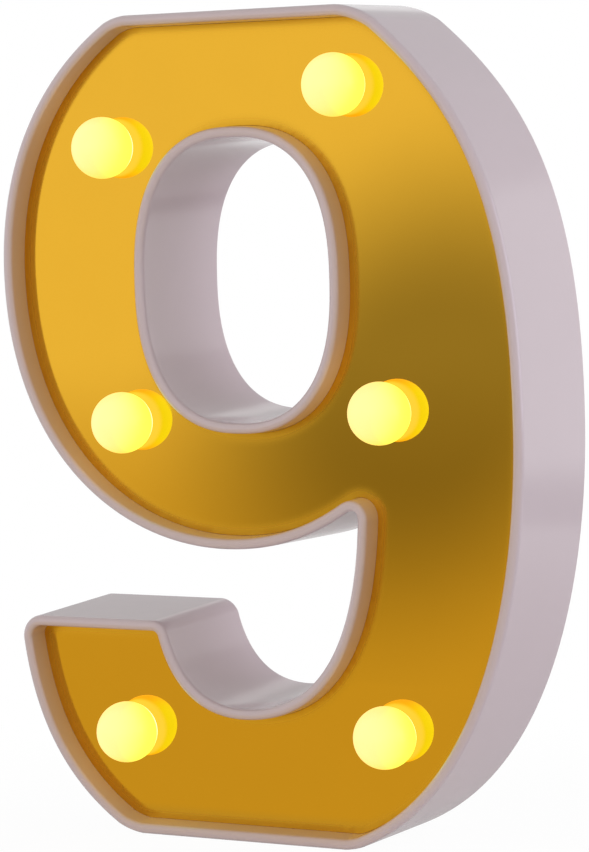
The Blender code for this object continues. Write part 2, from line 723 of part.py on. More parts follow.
def make_screws(screws):
    profile = [
        (0, SCREW_HEAD_HEIGHT),
        (SCREW_HEAD_FLAT_SHARE * SCREW_HEAD_RADIUS, SCREW_HEAD_HEIGHT),
        (SCREW_HEAD_RADIUS, SCREW_HEAD_HEIGHT / 2),
        (SCREW_HEAD_RADIUS, 0),
        (SCREW_RADIUS, 0),
        (SCREW_RADIUS, SCREW_TIP - SCREW_LENGTH),
        (0, -SCREW_LENGTH),
    ]
    seat = BODY_DEPTH - SCREW_HEAD_SINK - SCREW_HEAD_HEIGHT
    for index, centre in enumerate(screws, 1):
        spot = (centre[0], y_at(seat), centre[1])
        name = f"cover_screw_{index}"
        turned(name, profile, SMALL_ROD_SIDES, STEEL_FINISH, spot, FACING_BACK)


def make_battery_door():
    """The door tips out about its lower edge, on two tongues under the cover's plate."""
    hinge = (BOX_CENTRE_X, y_at(BODY_DEPTH), DOOR_BASE_Z)
    width = around(BOX_CENTRE_X, DOOR_WIDTH)
    thickness = (BODY_DEPTH - DOOR_THICKNESS, BODY_DEPTH)
    door = block(
        "battery_door", width, thickness, (DOOR_BASE_Z, DOOR_TOP_Z), SHELL_FINISH, hinge)

    tongue_top = COVER_FRONT - CLEARANCE
    tongue = (tongue_top - TONGUE_THICKNESS, tongue_top)
    root = (tongue[0], BODY_DEPTH - DOOR_THICKNESS / 2)
    for index, side in enumerate((-1, 1), 1):
        tongue_x = around(BOX_CENTRE_X + side * TONGUE_SPACING / 2, TONGUE_WIDTH)
        root_z = (DOOR_BASE_Z, DOOR_BASE_Z + DOOR_LEDGE)
        reach_z = (DOOR_BASE_Z - TONGUE_REACH, DOOR_BASE_Z + DOOR_LEDGE / 2)
        join(door, block(f"tongue_root_{index}", tongue_x, root, root_z))
        join(door, block(f"tongue_{index}", tongue_x, tongue, reach_z))

    # latch finger between two slits, with grip lines across it
    through = (BODY_DEPTH - DOOR_THICKNESS - OVERCUT, BODY_DEPTH + OVERCUT)
    slit_z = (DOOR_TOP_Z - LATCH_LENGTH, DOOR_TOP_Z + OVERCUT)
    for index, side in enumerate((-1, 1), 1):
        slit_x = around(BOX_CENTRE_X + side * (LATCH_WIDTH + LATCH_SLIT) / 2, LATCH_SLIT)
        cut(door, block(f"latch_slit_{index}", slit_x, through, slit_z))
    grip_x = around(BOX_CENTRE_X, LATCH_WIDTH - 2 * LATCH_GRIP)
    grip_depth = (BODY_DEPTH - LATCH_GRIP, BODY_DEPTH + OVERCUT)
    for index in range(1, LATCH_GRIP_LINES + 1):
        line = DOOR_TOP_Z - LATCH_LENGTH * index / (LATCH_GRIP_LINES + 1)
        cut(door, block(f"latch_grip_{index}", grip_x, grip_depth, around(line, LATCH_GRIP)))
    return door


def make_cells():
    body_top = CELL_LENGTH - CELL_NUB_HEIGHT
    profile = [
        (0, CELL_LENGTH),
        (CELL_NUB_RADIUS, CELL_LENGTH),
        (CELL_NUB_RADIUS, body_top),
        (CELL_RADIUS - CELL_EDGE, body_top),
        (CELL_RADIUS, body_top - CELL_EDGE),
        (CELL_RADIUS, CELL_EDGE),
        (CELL_RADIUS - CELL_EDGE, 0),
        (0, 0),
    ]
    y = y_at(CELL_DEPTH)
    left = (BOX_CENTRE_X - CELL_OFFSET, y, POCKET_BASE_Z + CONTACT_SPACE + CELL_LENGTH)
    right = (BOX_CENTRE_X + CELL_OFFSET, y, POCKET_TOP_Z - CONTACT_SPACE - CELL_LENGTH)
    turned("battery_cell_left", profile, CELL_SIDES, CELL_FINISH, left, (math.pi, 0, 0))
    turned("battery_cell_right", profile, CELL_SIDES, CELL_FINISH, right, (0, 0, 0))


def make_contacts():
    """Two end contacts with tabs through the box wall, and the bridge at the other end."""
    face = around(CELL_DEPTH, CONTACT_SIZE)
    low = (POCKET_BASE_Z + CLEARANCE, POCKET_BASE_Z + CLEARANCE + CONTACT_THICKNESS)
    high = (POCKET_TOP_Z - CLEARANCE - CONTACT_THICKNESS, POCKET_TOP_Z - CLEARANCE)
    tab_z = (BOX_BASE_Z - CONTACT_TAB_REACH, sum(low) / 2)
    for name, side in (("positive", -1), ("negative", 1)):
        x = BOX_CENTRE_X + side * CELL_OFFSET
        contact = block(f"{name}_contact", around(x, CONTACT_SIZE), face, low, STEEL_FINISH)
        tab_depth = around(CELL_DEPTH, CONTACT_THICKNESS)
        join(contact, block(f"{name}_tab", around(x, CONTACT_TAB_WIDTH), tab_depth, tab_z))
    bridge_x = around(BOX_CENTRE_X, 2 * CELL_OFFSET + CONTACT_SIZE)
    block("bridge_contact", bridge_x, face, high, STEEL_FINISH)


def spring_points(x, start_z, direction):
    """One unbroken wire: a straight foot, the turns, and a straight end."""
    foot = 2 * SPRING_WIRE
    climb = SPRING_LENGTH - 2 * foot
    count = round(SPRING_TURNS * SPRING_TURN_POINTS)
    places = [(SPRING_RADIUS, 0, 0)]
    for step in range(count + 1):
        angle = 2 * math.pi * step / SPRING_TURN_POINTS
        height = foot + climb * step / count
        places.append((SPRING_RADIUS * math.cos(angle), SPRING_RADIUS * math.sin(angle), height))
    places.append((places[-1][0], places[-1][1], SPRING_LENGTH))
    y = y_at(CELL_DEPTH)
    return [Vector((x + a, y + b, start_z + direction * c)) for a, b, c in places]


def least_gap(points):
    """The least distance between turns, on points half a turn or more apart, less the wire."""
    apart = math.ceil(SPRING_TURN_POINTS / 2)
    least = math.inf
    for index, point in enumerate(points):
        for other in points[index + apart:]:
            least = min(least, (other - point).length)
    return least - 2 * SPRING_WIRE


def make_springs():
    low = POCKET_BASE_Z + CONTACT_SPACE
    high = POCKET_TOP_Z - CONTACT_SPACE
    lower = spring_points(BOX_CENTRE_X + CELL_OFFSET, low, 1)
    upper = spring_points(BOX_CENTRE_X - CELL_OFFSET, high, -1)
    tube("contact_spring_lower", lower, SPRING_WIRE, 1, STEEL_FINISH)
    tube("contact_spring_upper", upper, SPRING_WIRE, 1, STEEL_FINISH)
    print("least gap between spring turns, mm:", round(least_gap(lower) / mm, 3))


def make_switch():
    body_top = COVER_FRONT - CLEARANCE
    body_span = (body_top - SWITCH_BODY_DEPTH, body_top)
    body = block(
        "switch_body", around(SWITCH_X, SWITCH_BODY_LENGTH), body_span,
        around(SWITCH_Z, SWITCH_BODY_HEIGHT), SWITCH_FINISH)
    ear = (body_top - SWITCH_EAR_THICKNESS, body_top)
    join(body, block(
        "switch_ears", around(SWITCH_X, SWITCH_EAR_LENGTH), ear,
        around(SWITCH_Z, SWITCH_EAR_HEIGHT)))
    for index, side in enumerate((-1, 1), 1):
        centre = (SWITCH_X + side * STAKE_SPACING / 2, SWITCH_Z)
        hole = (ear[0] - OVERCUT, ear[1] + OVERCUT)
        radius = STAKE_RADIUS + CLEARANCE
        cut(body, rod(f"ear_hole_{index}", centre, hole, radius, SMALL_ROD_SIDES))
    slider_seat = body_top - CLEARANCE - SLIDER_THICKNESS
    slide_x = around(SWITCH_X, SLIDER_LENGTH + SWITCH_TRAVEL + 2 * CLEARANCE)
    slide_z = around(SWITCH_Z, SLIDER_HEIGHT + 2 * CLEARANCE)
    slide_depth = (slider_seat - CLEARANCE, body_top + OVERCUT)
    cut(body, block("slide_track", slide_x, slide_depth, slide_z))
    for index in (-1, 0, 1):
        pin_x = around(SWITCH_X + index * SWITCH_PIN_SPACING, SWITCH_PIN_WIDTH)
        pin_depth = (body_span[0] - SWITCH_PIN_REACH, body_span[0] + OVERCUT)
        pin_z = around(SWITCH_Z, SWITCH_PIN_WIDTH / 2)
        join(body, block(f"switch_pin_{index + 2}", pin_x, pin_depth, pin_z))

    # the slider rests at the on end of its travel
    slider_x = SWITCH_X - SWITCH_TRAVEL / 2
    origin = (slider_x, y_at(slider_seat), SWITCH_Z)
    slider = block(
        "switch_slider", around(slider_x, SLIDER_LENGTH),
        (slider_seat, slider_seat + SLIDER_THICKNESS), around(SWITCH_Z, SLIDER_HEIGHT),
        SWITCH_FINISH, origin)
    knob = (slider_seat + SLIDER_THICKNESS / 2, BODY_DEPTH - CLEARANCE)
    join(slider, block(
        "slider_knob", around(slider_x, KNOB_LENGTH), knob, around(SWITCH_Z, KNOB_HEIGHT)))
    return body_span[0] - SWITCH_PIN_REACH


def smooth_route(route, step):
    """A smooth curve through a route's points, above the floor, with straight ends."""
    dense = []
    for before, start, end, after in zip(route, route[1:], route[2:], route[3:]):
        for index in range(ROUTE_SAMPLES):
            t = index / ROUTE_SAMPLES
            out = (end - before) / 2
            into = (after - start) / 2
            dense.append(
                start * (2 * t ** 3 - 3 * t ** 2 + 1) + out * (t ** 3 - 2 * t ** 2 + t)
                + end * (3 * t ** 2 - 2 * t ** 3) + into * (t ** 3 - t ** 2))
    dense.append(route[-2])
    total = sum((b - a).length for a, b in zip(dense, dense[1:]))
    count = round(total / step)
    points = [dense[0]]
    travelled = 0
    target = total / count
    for a, b in zip(dense, dense[1:]):
        length = (b - a).length
        while travelled + length >= target and len(points) < count:
            points.append(a.lerp(b, (target - travelled) / length))
            target += total / count
        travelled += length
    points.append(dense[-1])
    for point in points:
        point.y = max(point.y, y_at(LEAD_FLOOR))
    return [route[0]] + points + [route[-1]]


def bulb_end(centre, towards, lead_place):
    """A lead's way out of a diode: back from its base, then over the spigot to the floor."""
    heading = (Vector(towards) - Vector(centre)).normalized()
    angle = 2 * math.pi * lead_place / LEAD_PLACES
    start = Vector(centre) + LEAD_PITCH_RADIUS * Vector((math.cos(angle), math.sin(angle)))
    out = SPIGOT_RADIUS + SPIGOT_BEAD + 2 * LEAD_RADIUS
    base = LED_BASE + CLEARANCE
    over = base + LEAD_LIFT
    edge = Vector(centre) + heading * out
    landing = Vector(centre) + heading * 2 * out
    return [
        Vector((start.x, y_at(base), start.y)),
        Vector((start.x, y_at(over), start.y)),
        Vector((edge.x, y_at(over), edge.y)),
        Vector((landing.x, y_at(LEAD_FLOOR), landing.y)),
    ]


def floor_points(places):
    return [Vector((spot.x, y_at(LEAD_FLOOR), spot.y)) for spot in places]


def make_leads(bulbs, pin_tip):
    """Twin leads along the back of the floor, from diode to diode."""
    def link(name, first, first_place, last, last_place, *via):
        start = bulb_end(bulbs[first], via[0], first_place)
        end = bulb_end(bulbs[last], via[-1], last_place)
        route = start + floor_points(via) + end[::-1]
        tube(name, smooth_route(route, LEAD_STEP), LEAD_RADIUS, 2, LEAD_FINISH)

    over_counter = Vector((
        (COUNTER_LEFT + COUNTER_RIGHT) / 2, COUNTER_TOP + SIDE_WALL + LEAD_STANDOFF))
    link("lead_1_to_2", 0, 0, 1, 1, over_counter)
    link("lead_1_to_3", 0, 2, 2, 1, at_share((-0.66, 0.68)))
    link("lead_2_to_4", 1, 2, 3, 1, at_share((0.62, 0.75)), at_share((0.62, 0.62)))
    link("lead_4_to_6", 3, 2, 5, 1, at_share((0.55, 0.33)))
    link("lead_6_to_5", 5, 2, 4, 0, at_share((-0.06, 0.12)))

    # from the box to the switch, and from the box and the switch to the diodes
    tab_end = BOX_BASE_Z - CONTACT_TAB_REACH - CLEARANCE
    positive = Vector((BOX_CENTRE_X - CELL_OFFSET, y_at(CELL_DEPTH), tab_end))
    negative = Vector((BOX_CENTRE_X + CELL_OFFSET, y_at(CELL_DEPTH), tab_end))
    drop = Vector((0, 0, -4 * LEAD_RADIUS))
    pin_end = y_at(pin_tip - CLEARANCE)
    dive = Vector((0, -3 * LEAD_RADIUS, 0))
    first_pin = Vector((SWITCH_X - SWITCH_PIN_SPACING, pin_end, SWITCH_Z))
    second_pin = Vector((SWITCH_X, pin_end, SWITCH_Z))
    turn = first_pin + 2 * dive - 2 * drop
    route = [positive, positive + drop, turn, first_pin + dive, first_pin]
    tube("lead_box_to_switch", smooth_route(route, LEAD_STEP / 2), LEAD_RADIUS, 2, LEAD_FINISH)

    via = [at_share((0.60, 0.19))]
    route = [second_pin, second_pin + dive] + floor_points(via)
    route += bulb_end(bulbs[5], via[-1], 0)[::-1]
    tube("lead_switch_to_6", smooth_route(route, LEAD_STEP), LEAD_RADIUS, 2, LEAD_FINISH)

    via = [at_share((0.69, 0.31)), at_share((0.72, 0.38)), at_share((0.66, 0.46))]
    bend = Vector((-6 * LEAD_RADIUS, (LEAD_FLOOR - CELL_DEPTH) / 2, -6 * LEAD_RADIUS))
    route = [negative, negative + drop, negative + bend] + floor_points(via)
    route += bulb_end(bulbs[3], via[-1], 0)[::-1]
    tube("lead_box_to_4", smooth_route(route, LEAD_STEP), LEAD_RADIUS, 2, LEAD_FINISH)


clear_scene()
PARTS = make_collection("marquee_number_nine")
CUTTERS = make_collection("cutters")

NUMBER = number_outline()
COUNTER = counter_outline()
BULBS = [at_share(share) for share in BULB_SHARES]
SCREWS = [at_share(share) for share in SCREW_SHARES]
SCREWS.append(Vector((
    BOX_SCREW_SHARE * HALF_WIDTH, BOX_BASE_Z + BOX_LENGTH + BOX_SCREW_GAP + BOSS_RADIUS)))

make_front_shell(NUMBER, COUNTER, BULBS, SCREWS)
make_face_panel(NUMBER, COUNTER, BULBS)
make_bulbs(BULBS)
make_back_cover(NUMBER, COUNTER, SCREWS)
make_screws(SCREWS)
make_battery_door()
make_cells()
make_contacts()
make_springs()
PIN_TIP = make_switch()
make_leads(BULBS, PIN_TIP)
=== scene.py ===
"""Looks of a light up marquee number nine, round its fixed frame.

X runs to the viewer's right, the lit face looks along -Y and Z is up. Depths are measured
backwards from the front of the rim.
"""
import math
from collections import namedtuple

import bmesh
import bpy
from bpy.props import FloatProperty, FloatVectorProperty, IntProperty, PointerProperty
from mathutils import Matrix, Vector
from mathutils.bvhtree import BVHTree
from mathutils.geometry import interpolate_bezier


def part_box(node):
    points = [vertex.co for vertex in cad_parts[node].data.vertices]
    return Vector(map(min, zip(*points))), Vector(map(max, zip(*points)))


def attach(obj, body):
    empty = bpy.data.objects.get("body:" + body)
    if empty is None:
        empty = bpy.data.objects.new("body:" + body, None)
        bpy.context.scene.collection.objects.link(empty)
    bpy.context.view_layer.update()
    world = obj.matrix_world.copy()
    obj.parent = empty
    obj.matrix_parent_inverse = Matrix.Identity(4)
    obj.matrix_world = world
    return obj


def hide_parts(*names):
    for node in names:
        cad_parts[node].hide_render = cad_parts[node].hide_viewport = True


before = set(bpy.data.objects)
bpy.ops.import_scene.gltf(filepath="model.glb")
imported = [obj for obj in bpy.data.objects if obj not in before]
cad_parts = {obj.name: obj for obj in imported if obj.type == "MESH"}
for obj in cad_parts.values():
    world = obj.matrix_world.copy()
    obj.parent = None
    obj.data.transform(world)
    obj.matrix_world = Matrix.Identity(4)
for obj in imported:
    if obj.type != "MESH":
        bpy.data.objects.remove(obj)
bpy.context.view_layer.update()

bl_info = {
    "name": "Marquee number nine",
    "version": (1, 0, 0),
    "blender": (4, 5, 0),
    "location": "3D View > Sidebar > Marquee",
    "description": "Builds the finished surfaces of a light up marquee number",
    "category": "Object",
}

mm = 0.001


def linear(colour):
    """An sRGB hex colour as linear red, green and blue."""
    parts = [int(colour[index:index + 2], 16) / 255 for index in (1, 3, 5)]
    return tuple(c / 12.92 if c <= 0.04045 else ((c + 0.055) / 1.055) ** 2.4 for c in parts)


def plan(name):
    """The x and the height of a node's middle."""
    low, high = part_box(name)
    middle = (low + high) / 2
    return middle.x, middle.z


# Places and sizes that the frame gives
SHELL_LOW, SHELL_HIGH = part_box("front_shell")
DOOR_LOW, DOOR_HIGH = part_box("battery_door")
FACE_LOW, FACE_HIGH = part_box("mirror_face")
BULB_LOW, BULB_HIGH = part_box("bulb_1")
SCREW_LOW, SCREW_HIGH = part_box("cover_screw_1")
CELL_LOW, CELL_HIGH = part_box("battery_cell_left")
KNOB_LOW, KNOB_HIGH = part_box("switch_slider")
FRONT_Y = SHELL_LOW.y
BODY_DEPTH = SHELL_HIGH.y - FRONT_Y
FACE_FRONT = FACE_LOW.y - FRONT_Y
FACE_BACK = FACE_HIGH.y - FRONT_Y
BOX_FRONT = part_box("back_cover")[0].y - FRONT_Y
DOOR_MIDDLE_X = (DOOR_LOW.x + DOOR_HIGH.x) / 2
CELL_MIDDLE_Y = (CELL_LOW.y + CELL_HIGH.y) / 2
BULB_NODES = [f"bulb_{number}" for number in range(1, 7)]
SCREW_NODES = [f"cover_screw_{number}" for number in range(1, 9)]


def y_at(depth):
    """The y of a depth behind the front of the rim."""
    return FRONT_Y + depth


def length(name, description, default):
    """A setting that is a length in metres."""
    return FloatProperty(name=name, description=description, default=default, min=0,
                         unit='LENGTH', precision=5)


def colour(name, description, default):
    """A setting that is a colour, from its hex code."""
    return FloatVectorProperty(name=name, description=description, default=linear(default),
                               subtype='COLOR', min=0, max=1)


def amount(name, description, default, **limits):
    """A setting that is a plain number, with its limits or its kind."""
    return FloatProperty(name=name, description=description, default=default, **limits)


# The outline of the nine at the front of the outer wall, clockwise from the top left corner.
# Each stretch has the rounding at its start and the points after its start: one for a straight
# stretch, two handles and an end for a curved one. The points are shares of half the width and
# of the height.
TOP_LEFT_ROUND = 3.8 * mm
TOP_RIGHT_ROUND = 7 * mm
BASE_RIGHT_ROUND = 3 * mm
BASE_LEFT_ROUND = 4.5 * mm
HOOK_TIP_ROUND = 6.5 * mm
HOOK_SHOULDER_ROUND = 3.6 * mm
NOTCH_ROUND = 4.7 * mm
START_SHARE = (-0.521, 1.0)
BOWL_BASE_SHARE = 0.356
STRETCH_SHARES = (
    (TOP_LEFT_ROUND, ((0.425, 1.0),)),
    (TOP_RIGHT_ROUND, ((0.801, 0.896), (1.0, 0.787), (1.0, 0.502))),
    (0, ((1.0, 0.329), (0.876, 0.070), (0.336, 0.0))),
    (BASE_RIGHT_ROUND, ((-0.544, 0.0),)),
    (BASE_LEFT_ROUND, ((-0.813, 0.055), (-0.947, 0.140), (-0.975, 0.265))),
    (HOOK_TIP_ROUND, ((-0.384, 0.265),)),
    (HOOK_SHOULDER_ROUND, ((-0.350, 0.200), (-0.246, 0.162), (-0.078, 0.162))),
    (0, ((0.153, 0.162), (0.371, 0.212), (0.386, 0.415))),
    (NOTCH_ROUND, ((0.215, 0.371), (0.048, BOWL_BASE_SHARE), (-0.124, BOWL_BASE_SHARE))),
    (0, ((-0.565, BOWL_BASE_SHARE), (-1.0, 0.470), (-1.0, 0.696))),
    (0, ((-1.0, 0.818), (-0.853, 0.931), START_SHARE)),
)
CORNER_REACH_SHARE = 0.55

# Widths of the strokes round the counter, the oblong hole through the upper bowl
STROKE_LEFT = 43.7 * mm
STROKE_RIGHT = 53.3 * mm
STROKE_TOP = 32.9 * mm
STROKE_BOTTOM = 33.4 * mm
COUNTER_SQUARENESS = 2.44

# Fineness of the curves. The support is how far past a rounding a loop keeps the wall flat.
OUTLINE_TURN = math.radians(1.6)
CURVE_SAMPLES = 240
COUNTER_STEPS = 176
SUPPORT = 0.5 * mm
ROUND_STEPS = 6
HOLE_STEPS = 48
SHARP_TURN = math.radians(32)
MERGE_DISTANCE = 0.002 * mm

# Painted gold bounce and shade: its shares from the foot of the recess wall, up it and over the
# rim's inner round
PAINTED_GOLD_BOUNCE = "painted_gold_bounce"
PAINTED_BOUNCE_SHARES = (1, 0.64, 0.6, 0.52, 0.43, 0.35, 0.27, 0.2, 0.13, 0.06)

# Mirror face: its haze, the gap round it and the grid that stores the haze
EDGE_HAZE = "edge_haze"
FACE_GAP = 0.01 * mm
GRID_STEP = 2 * mm

# Battery door, its box and its seat in the cover
DOOR_THICKNESS = 2.0 * mm
DOOR_LEDGE = 1.2 * mm
DOOR_CORNER = 0.4 * mm
DOOR_EDGE = 0.22 * mm
BOX_WALL = 1.6 * mm
BOX_CORNER = 0.8 * mm
TONGUE_REACH = 1.8 * mm
TONGUE_WIDTH = 6 * mm
TONGUE_SPACING = 18 * mm
TONGUE_SWING = 2.2 * mm
TAB_HALF_WIDTH = 1.8 * mm
TAB_HALF_DEPTH = 0.6 * mm
NOTCH_RADIUS = 6 * mm
NOTCH_DEPTH = 1.4 * mm
NOTCH_CHAMFER = 0.4 * mm
LATCH_WIDTH = 9 * mm
LATCH_LENGTH = 10 * mm
LATCH_SLIT = 0.9 * mm
LATCH_CORNER = 0.25 * mm
LATCH_GRIP = 0.5 * mm
LATCH_GRIP_LINES = 3
DOOR_BASE_Z = DOOR_LOW.z + TONGUE_REACH
TONGUE_MIDDLES = (DOOR_MIDDLE_X - TONGUE_SPACING / 2, DOOR_MIDDLE_X + TONGUE_SPACING / 2)

# Slide switch: its pocket as width, height and depth, its window and its knob
SWITCH_CENTRE = Vector(plan("switch_body"))
SWITCH_POCKET = (14 * mm, 8 * mm, 1.0 * mm)
SWITCH_WINDOW = (6.8 * mm, 3.6 * mm)
POCKET_CORNER = 1 * mm
WINDOW_CORNER = 0.3 * mm
SLIDER_THICKNESS = 1.2 * mm
SLIDER_BEVEL = 0.1 * mm
KNOB_HALF_LENGTH = 1.6 * mm
KNOB_HALF_HEIGHT = 1.5 * mm
KNOB_BEVEL = 0.2 * mm
GROOVE_PITCH = 0.9 * mm
GROOVE_HALF_WIDTH = 0.17 * mm
GROOVE_DEPTH = 0.35 * mm
OVERCUT = 0.3 * mm

# Screws: the head's dome, the thread and the tip
DOME_SHARE = 1.9
DOME_REACH_SHARE = 0.94
HEAD_EDGE = 0.2 * mm
CROSS_DEPTH_SHARE = 0.75
THREAD_PITCH = 1.1 * mm
THREAD_START = 0.6 * mm
THREAD_ROOT_SHARE = 0.78
THREAD_CREST_SHARE = 0.4
THREAD_END_SHARE = 0.7
PLAIN_END = 2.5 * mm
TIP_LENGTH = 0.8 * mm
TIP_SHARE = 0.6

# Cells: the positive nub, the sleeve's curl over both ends, the band and the bare base
NUB_HEIGHT = 1.3 * mm
NUB_RADIUS = 2.75 * mm
NUB_CHAMFER = 0.3 * mm
TOP_SINK = 0.2 * mm
TOP_STEP = 0.6 * mm
CURL = 0.6 * mm
CURL_STEPS = 6
CURL_REACH = 1.6 * mm
BAND_START = 2.2 * mm
BAND_END = 11.5 * mm
BAND_FADE = 0.8 * mm
BASE_SINK = 0.1 * mm
BASE_STEP = 0.2 * mm
CELL_TURN_STEPS = 64

# Turned pieces and springs
BALL_STEPS = 40
BALL_INNER_STEPS = 20
BALL_TURN_STEPS = 72
HEAD_STEPS = 8
SCREW_TURN_STEPS = 40
SPRING_TURN_POINTS = 36
WIRE_SIDES = 14

# Turns that face the top of a turned piece to the front or the back
FACING_FRONT = (math.pi / 2, 0, 0)
FACING_BACK = (-math.pi / 2, 0, 0)

# Lit ball: where its tints start and are full, by the way that the surface faces. The pale tint
# towards the top left is a painted highlight and the side tint is painted light on the right. The
# neck's are places behind the front of the ball, in radii.
PAINTED_HIGHLIGHT_WAY = Vector((-0.52, -0.8, 0.3))
PAINTED_HIGHLIGHT_SPAN = (-0.4, 1.0)
PAINTED_HIGHLIGHT_MOST = 0.45
PAINTED_SIDE_SPAN = (0.1, 0.88)
BACK_SPAN = (0.25, 0.5)
NECK_SPAN = (1.1, 1.75)

# Soft lights: a name, a place, a tint and whether gloss shows it
LIGHT_SIZE = 1.2
LIGHTS = (
    ("right_softbox", (1.5, 0.35, 0.3), "#EEEBFF", True),
    ("front_fill", (-0.3, -1.6, 0.25), "#FFEBDC", False),
    ("back_fill", (0.6, 1.6, 0.5), "#FFF4EC", False),
)

# Soft edged black cards: a name, a place, half sizes, a turn, a strength and the share of the
# way out that has the full strength. The first shades the mirror face, the second the gloss of
# the right side's upper part, the third the hook's flat top and the last the right side's foot.
FLAGS = (
    ("front_flag", (-0.0657, -0.25, 0.1005), (0.1333, 0.1002), 0.58, 0.67, 0.238),
    ("back_flag_high", (0.45, 1.0, 1.4), (1.6, 0.98), 0, 0.35, 0.93),
    ("back_flag_low", (-0.64, 1.0, 0.22), (0.5, 0.3), 0, 0.4, 0.3),
    ("table_flag", (0.28, 0.38, 0.012), (0.5, 0.04), 0, 0.5, 0.4),
)
CARD_GLOW = 0.05

# Camera: the height of its sensor in millimetres
SENSOR_HEIGHT = 36

# Floor: where the white that the eye sees starts and is full, and for gloss where the far white
# does, where the painted warm glow gives way to the painted shade behind the lit face and where
# that shade ends
FLOOR_DROP = 0.05 * mm
NEAR_WHITE = (0.05, 0.2)
FAR_WHITE = (0.2, 2.4)
BEHIND = (-0.045, -0.02)
SHADE_END = (0.1, 0.7)

# World: the upward ways between which the soft light fades, and its share at the top
SKY_FADE = (0.1, 0.9)
SKY_TOP_SHARE = 0.6

WHITE = (1, 1, 1, 1)
SQUARE = ((-1, -1), (1, -1), (1, 1), (-1, 1))


class ShellSettings(bpy.types.PropertyGroup):
    """Settings of the tray, and those that most pieces share"""
    clearance: length("Clearance", "Gap between pieces that touch", 0.3 * mm)
    draft: length("Draft", "How far the walls lean out over the depth", 1.0 * mm)
    rim_width: length("Rim width", "Width of the front rim", 2.8 * mm)
    rim_round: length("Rim round", "Radius of the rim's outer edge", 1.5 * mm)
    rim_inner_round: length("Inner round", "Radius of the rim's inner edge", 1.2 * mm)
    recess_draft: length("Recess draft", "How far the recess narrows to its floor", 0.5 * mm)
    floor_front: length("Floor", "Depth of the recess floor", 8.1 * mm)
    floor_back: length("Floor back", "Depth of the back of the recess floor", 10.1 * mm)
    side_wall: length("Side wall", "Thickness of the side wall", 2.6 * mm)
    lip_wall: length("Lip", "Thickness of the lip round the cover", 1.2 * mm)
    ledge_depth: length("Ledge", "Depth of the ledge that the cover rests on", 37.5 * mm)
    edge_round: length("Edge round", "Radius of the back edges", 0.3 * mm)
    boss_radius: length("Boss", "Radius of a screw boss", 3.3 * mm)
    plastic: colour("Plastic", "Moulded white plastic", "#D6C7CB")
    # painted amber bounce and shade on the recess wall beside the gold sheet
    recess_painted_bounce: colour("Recess tint", "The recess wall beside the gold sheet", "#CEAB86")


class FaceSettings(bpy.types.PropertyGroup):
    """Settings of the mirror face"""
    edge_round: length("Edge round", "Rounding of the cut edge", 0.04 * mm)
    gold: colour("Gold", "Gold mirror coating", "#EBB334")
    roughness: amount("Roughness", "Softness of the reflections", 0.045, min=0, max=1)
    haze: amount("Edge haze", "Softness of the reflections at the edge", 0.32, min=0, max=1)
    haze_width: length("Haze width", "How far the haze reaches in from the edge", 4.5 * mm)


class BulbSettings(bpy.types.PropertyGroup):
    """Settings of the ball bulbs"""
    radius: length("Radius", "Radius of the ball", 8.2 * mm)
    wall: length("Wall", "Thickness of the ball", 1.2 * mm)
    spigot_radius: length("Spigot", "Radius of the spigot", 4.6 * mm)
    bead: length("Bead", "Height of the spigot's snap bead", 0.6 * mm)
    bead_width: length("Bead width", "Width of the spigot's snap bead", 1.0 * mm)
    bore_radius: length("Bore", "Radius of the spigot's bore", 3.2 * mm)
    skin: colour("Skin", "Frosted plastic of the ball", "#8A7B50")
    glow: colour("Glow", "Colour of the lit ball", "#EAC64B")
    # painted light: the ball's right side glows brighter and greener
    painted_side_light: colour("Side glow", "Colour of the lit ball towards its right", "#DCFF4A")
    # painted highlight: the ball's top left glows paler, where the studio light falls
    painted_highlight_glow: colour("Pale glow", "Colour of the lit ball towards its top left", "#F2D4AC")
    neck: colour("Neck glow", "Colour of the lit ball by its neck", "#DEF044")
    back_glow: colour("Back glow", "Colour of the lit ball towards the face", "#E6FFF0")
    strength: amount("Strength", "Brightness of the lit ball", 1.4, min=0)


class CoverSettings(bpy.types.PropertyGroup):
    """Settings of the back cover"""
    thickness: length("Thickness", "Thickness of the plate", 2.2 * mm)
    edge_round: length("Edge round", "Radius of the plate's edges", 0.35 * mm)
    hole_round: length("Hole round", "Radius at the mouth of a hole", 0.25 * mm)
    keyhole_height: length("Keyhole height", "Height of the keyholes", 200 * mm)
    keyhole_spacing: length("Keyhole spacing", "Distance between the keyholes", 40 * mm)
    keyhole_radius: length("Keyhole entry", "Radius of the round entry", 4.2 * mm)
    keyhole_slot: length("Keyhole slot", "Half the width of the slot", 2.2 * mm)
    keyhole_rise: length("Keyhole rise", "Rise of the slot", 7 * mm)
    screw_hole: length("Screw hole", "Radius of a screw hole", 1.6 * mm)
    screw_seat: length("Screw seat", "Radius of a sunk screw seat", 2.8 * mm)
    seat_depth: length("Seat depth", "Depth of a screw seat under the plate", 1.7 * mm)
    grain: length("Grain", "Size of the moulded grain", 0.5 * mm)


class ScrewSettings(bpy.types.PropertyGroup):
    """Settings of the cover screws"""
    radius: length("Shank", "Radius of the shank", 1.3 * mm)
    head_radius: length("Head", "Radius of the head", 2.5 * mm)
    head_height: length("Head height", "Height of the head", 1.2 * mm)
    cross_width: length("Cross", "Width of the driver cross", 0.7 * mm)
    cross_reach: length("Cross reach", "Reach of the driver cross from the centre", 1.35 * mm)
    seed: IntProperty(name="Seed", description="Seed of the turn that each screw is left at",
                      default=4, min=0)
    steel: colour("Steel", "Zinc plated steel", "#C4C3C0")


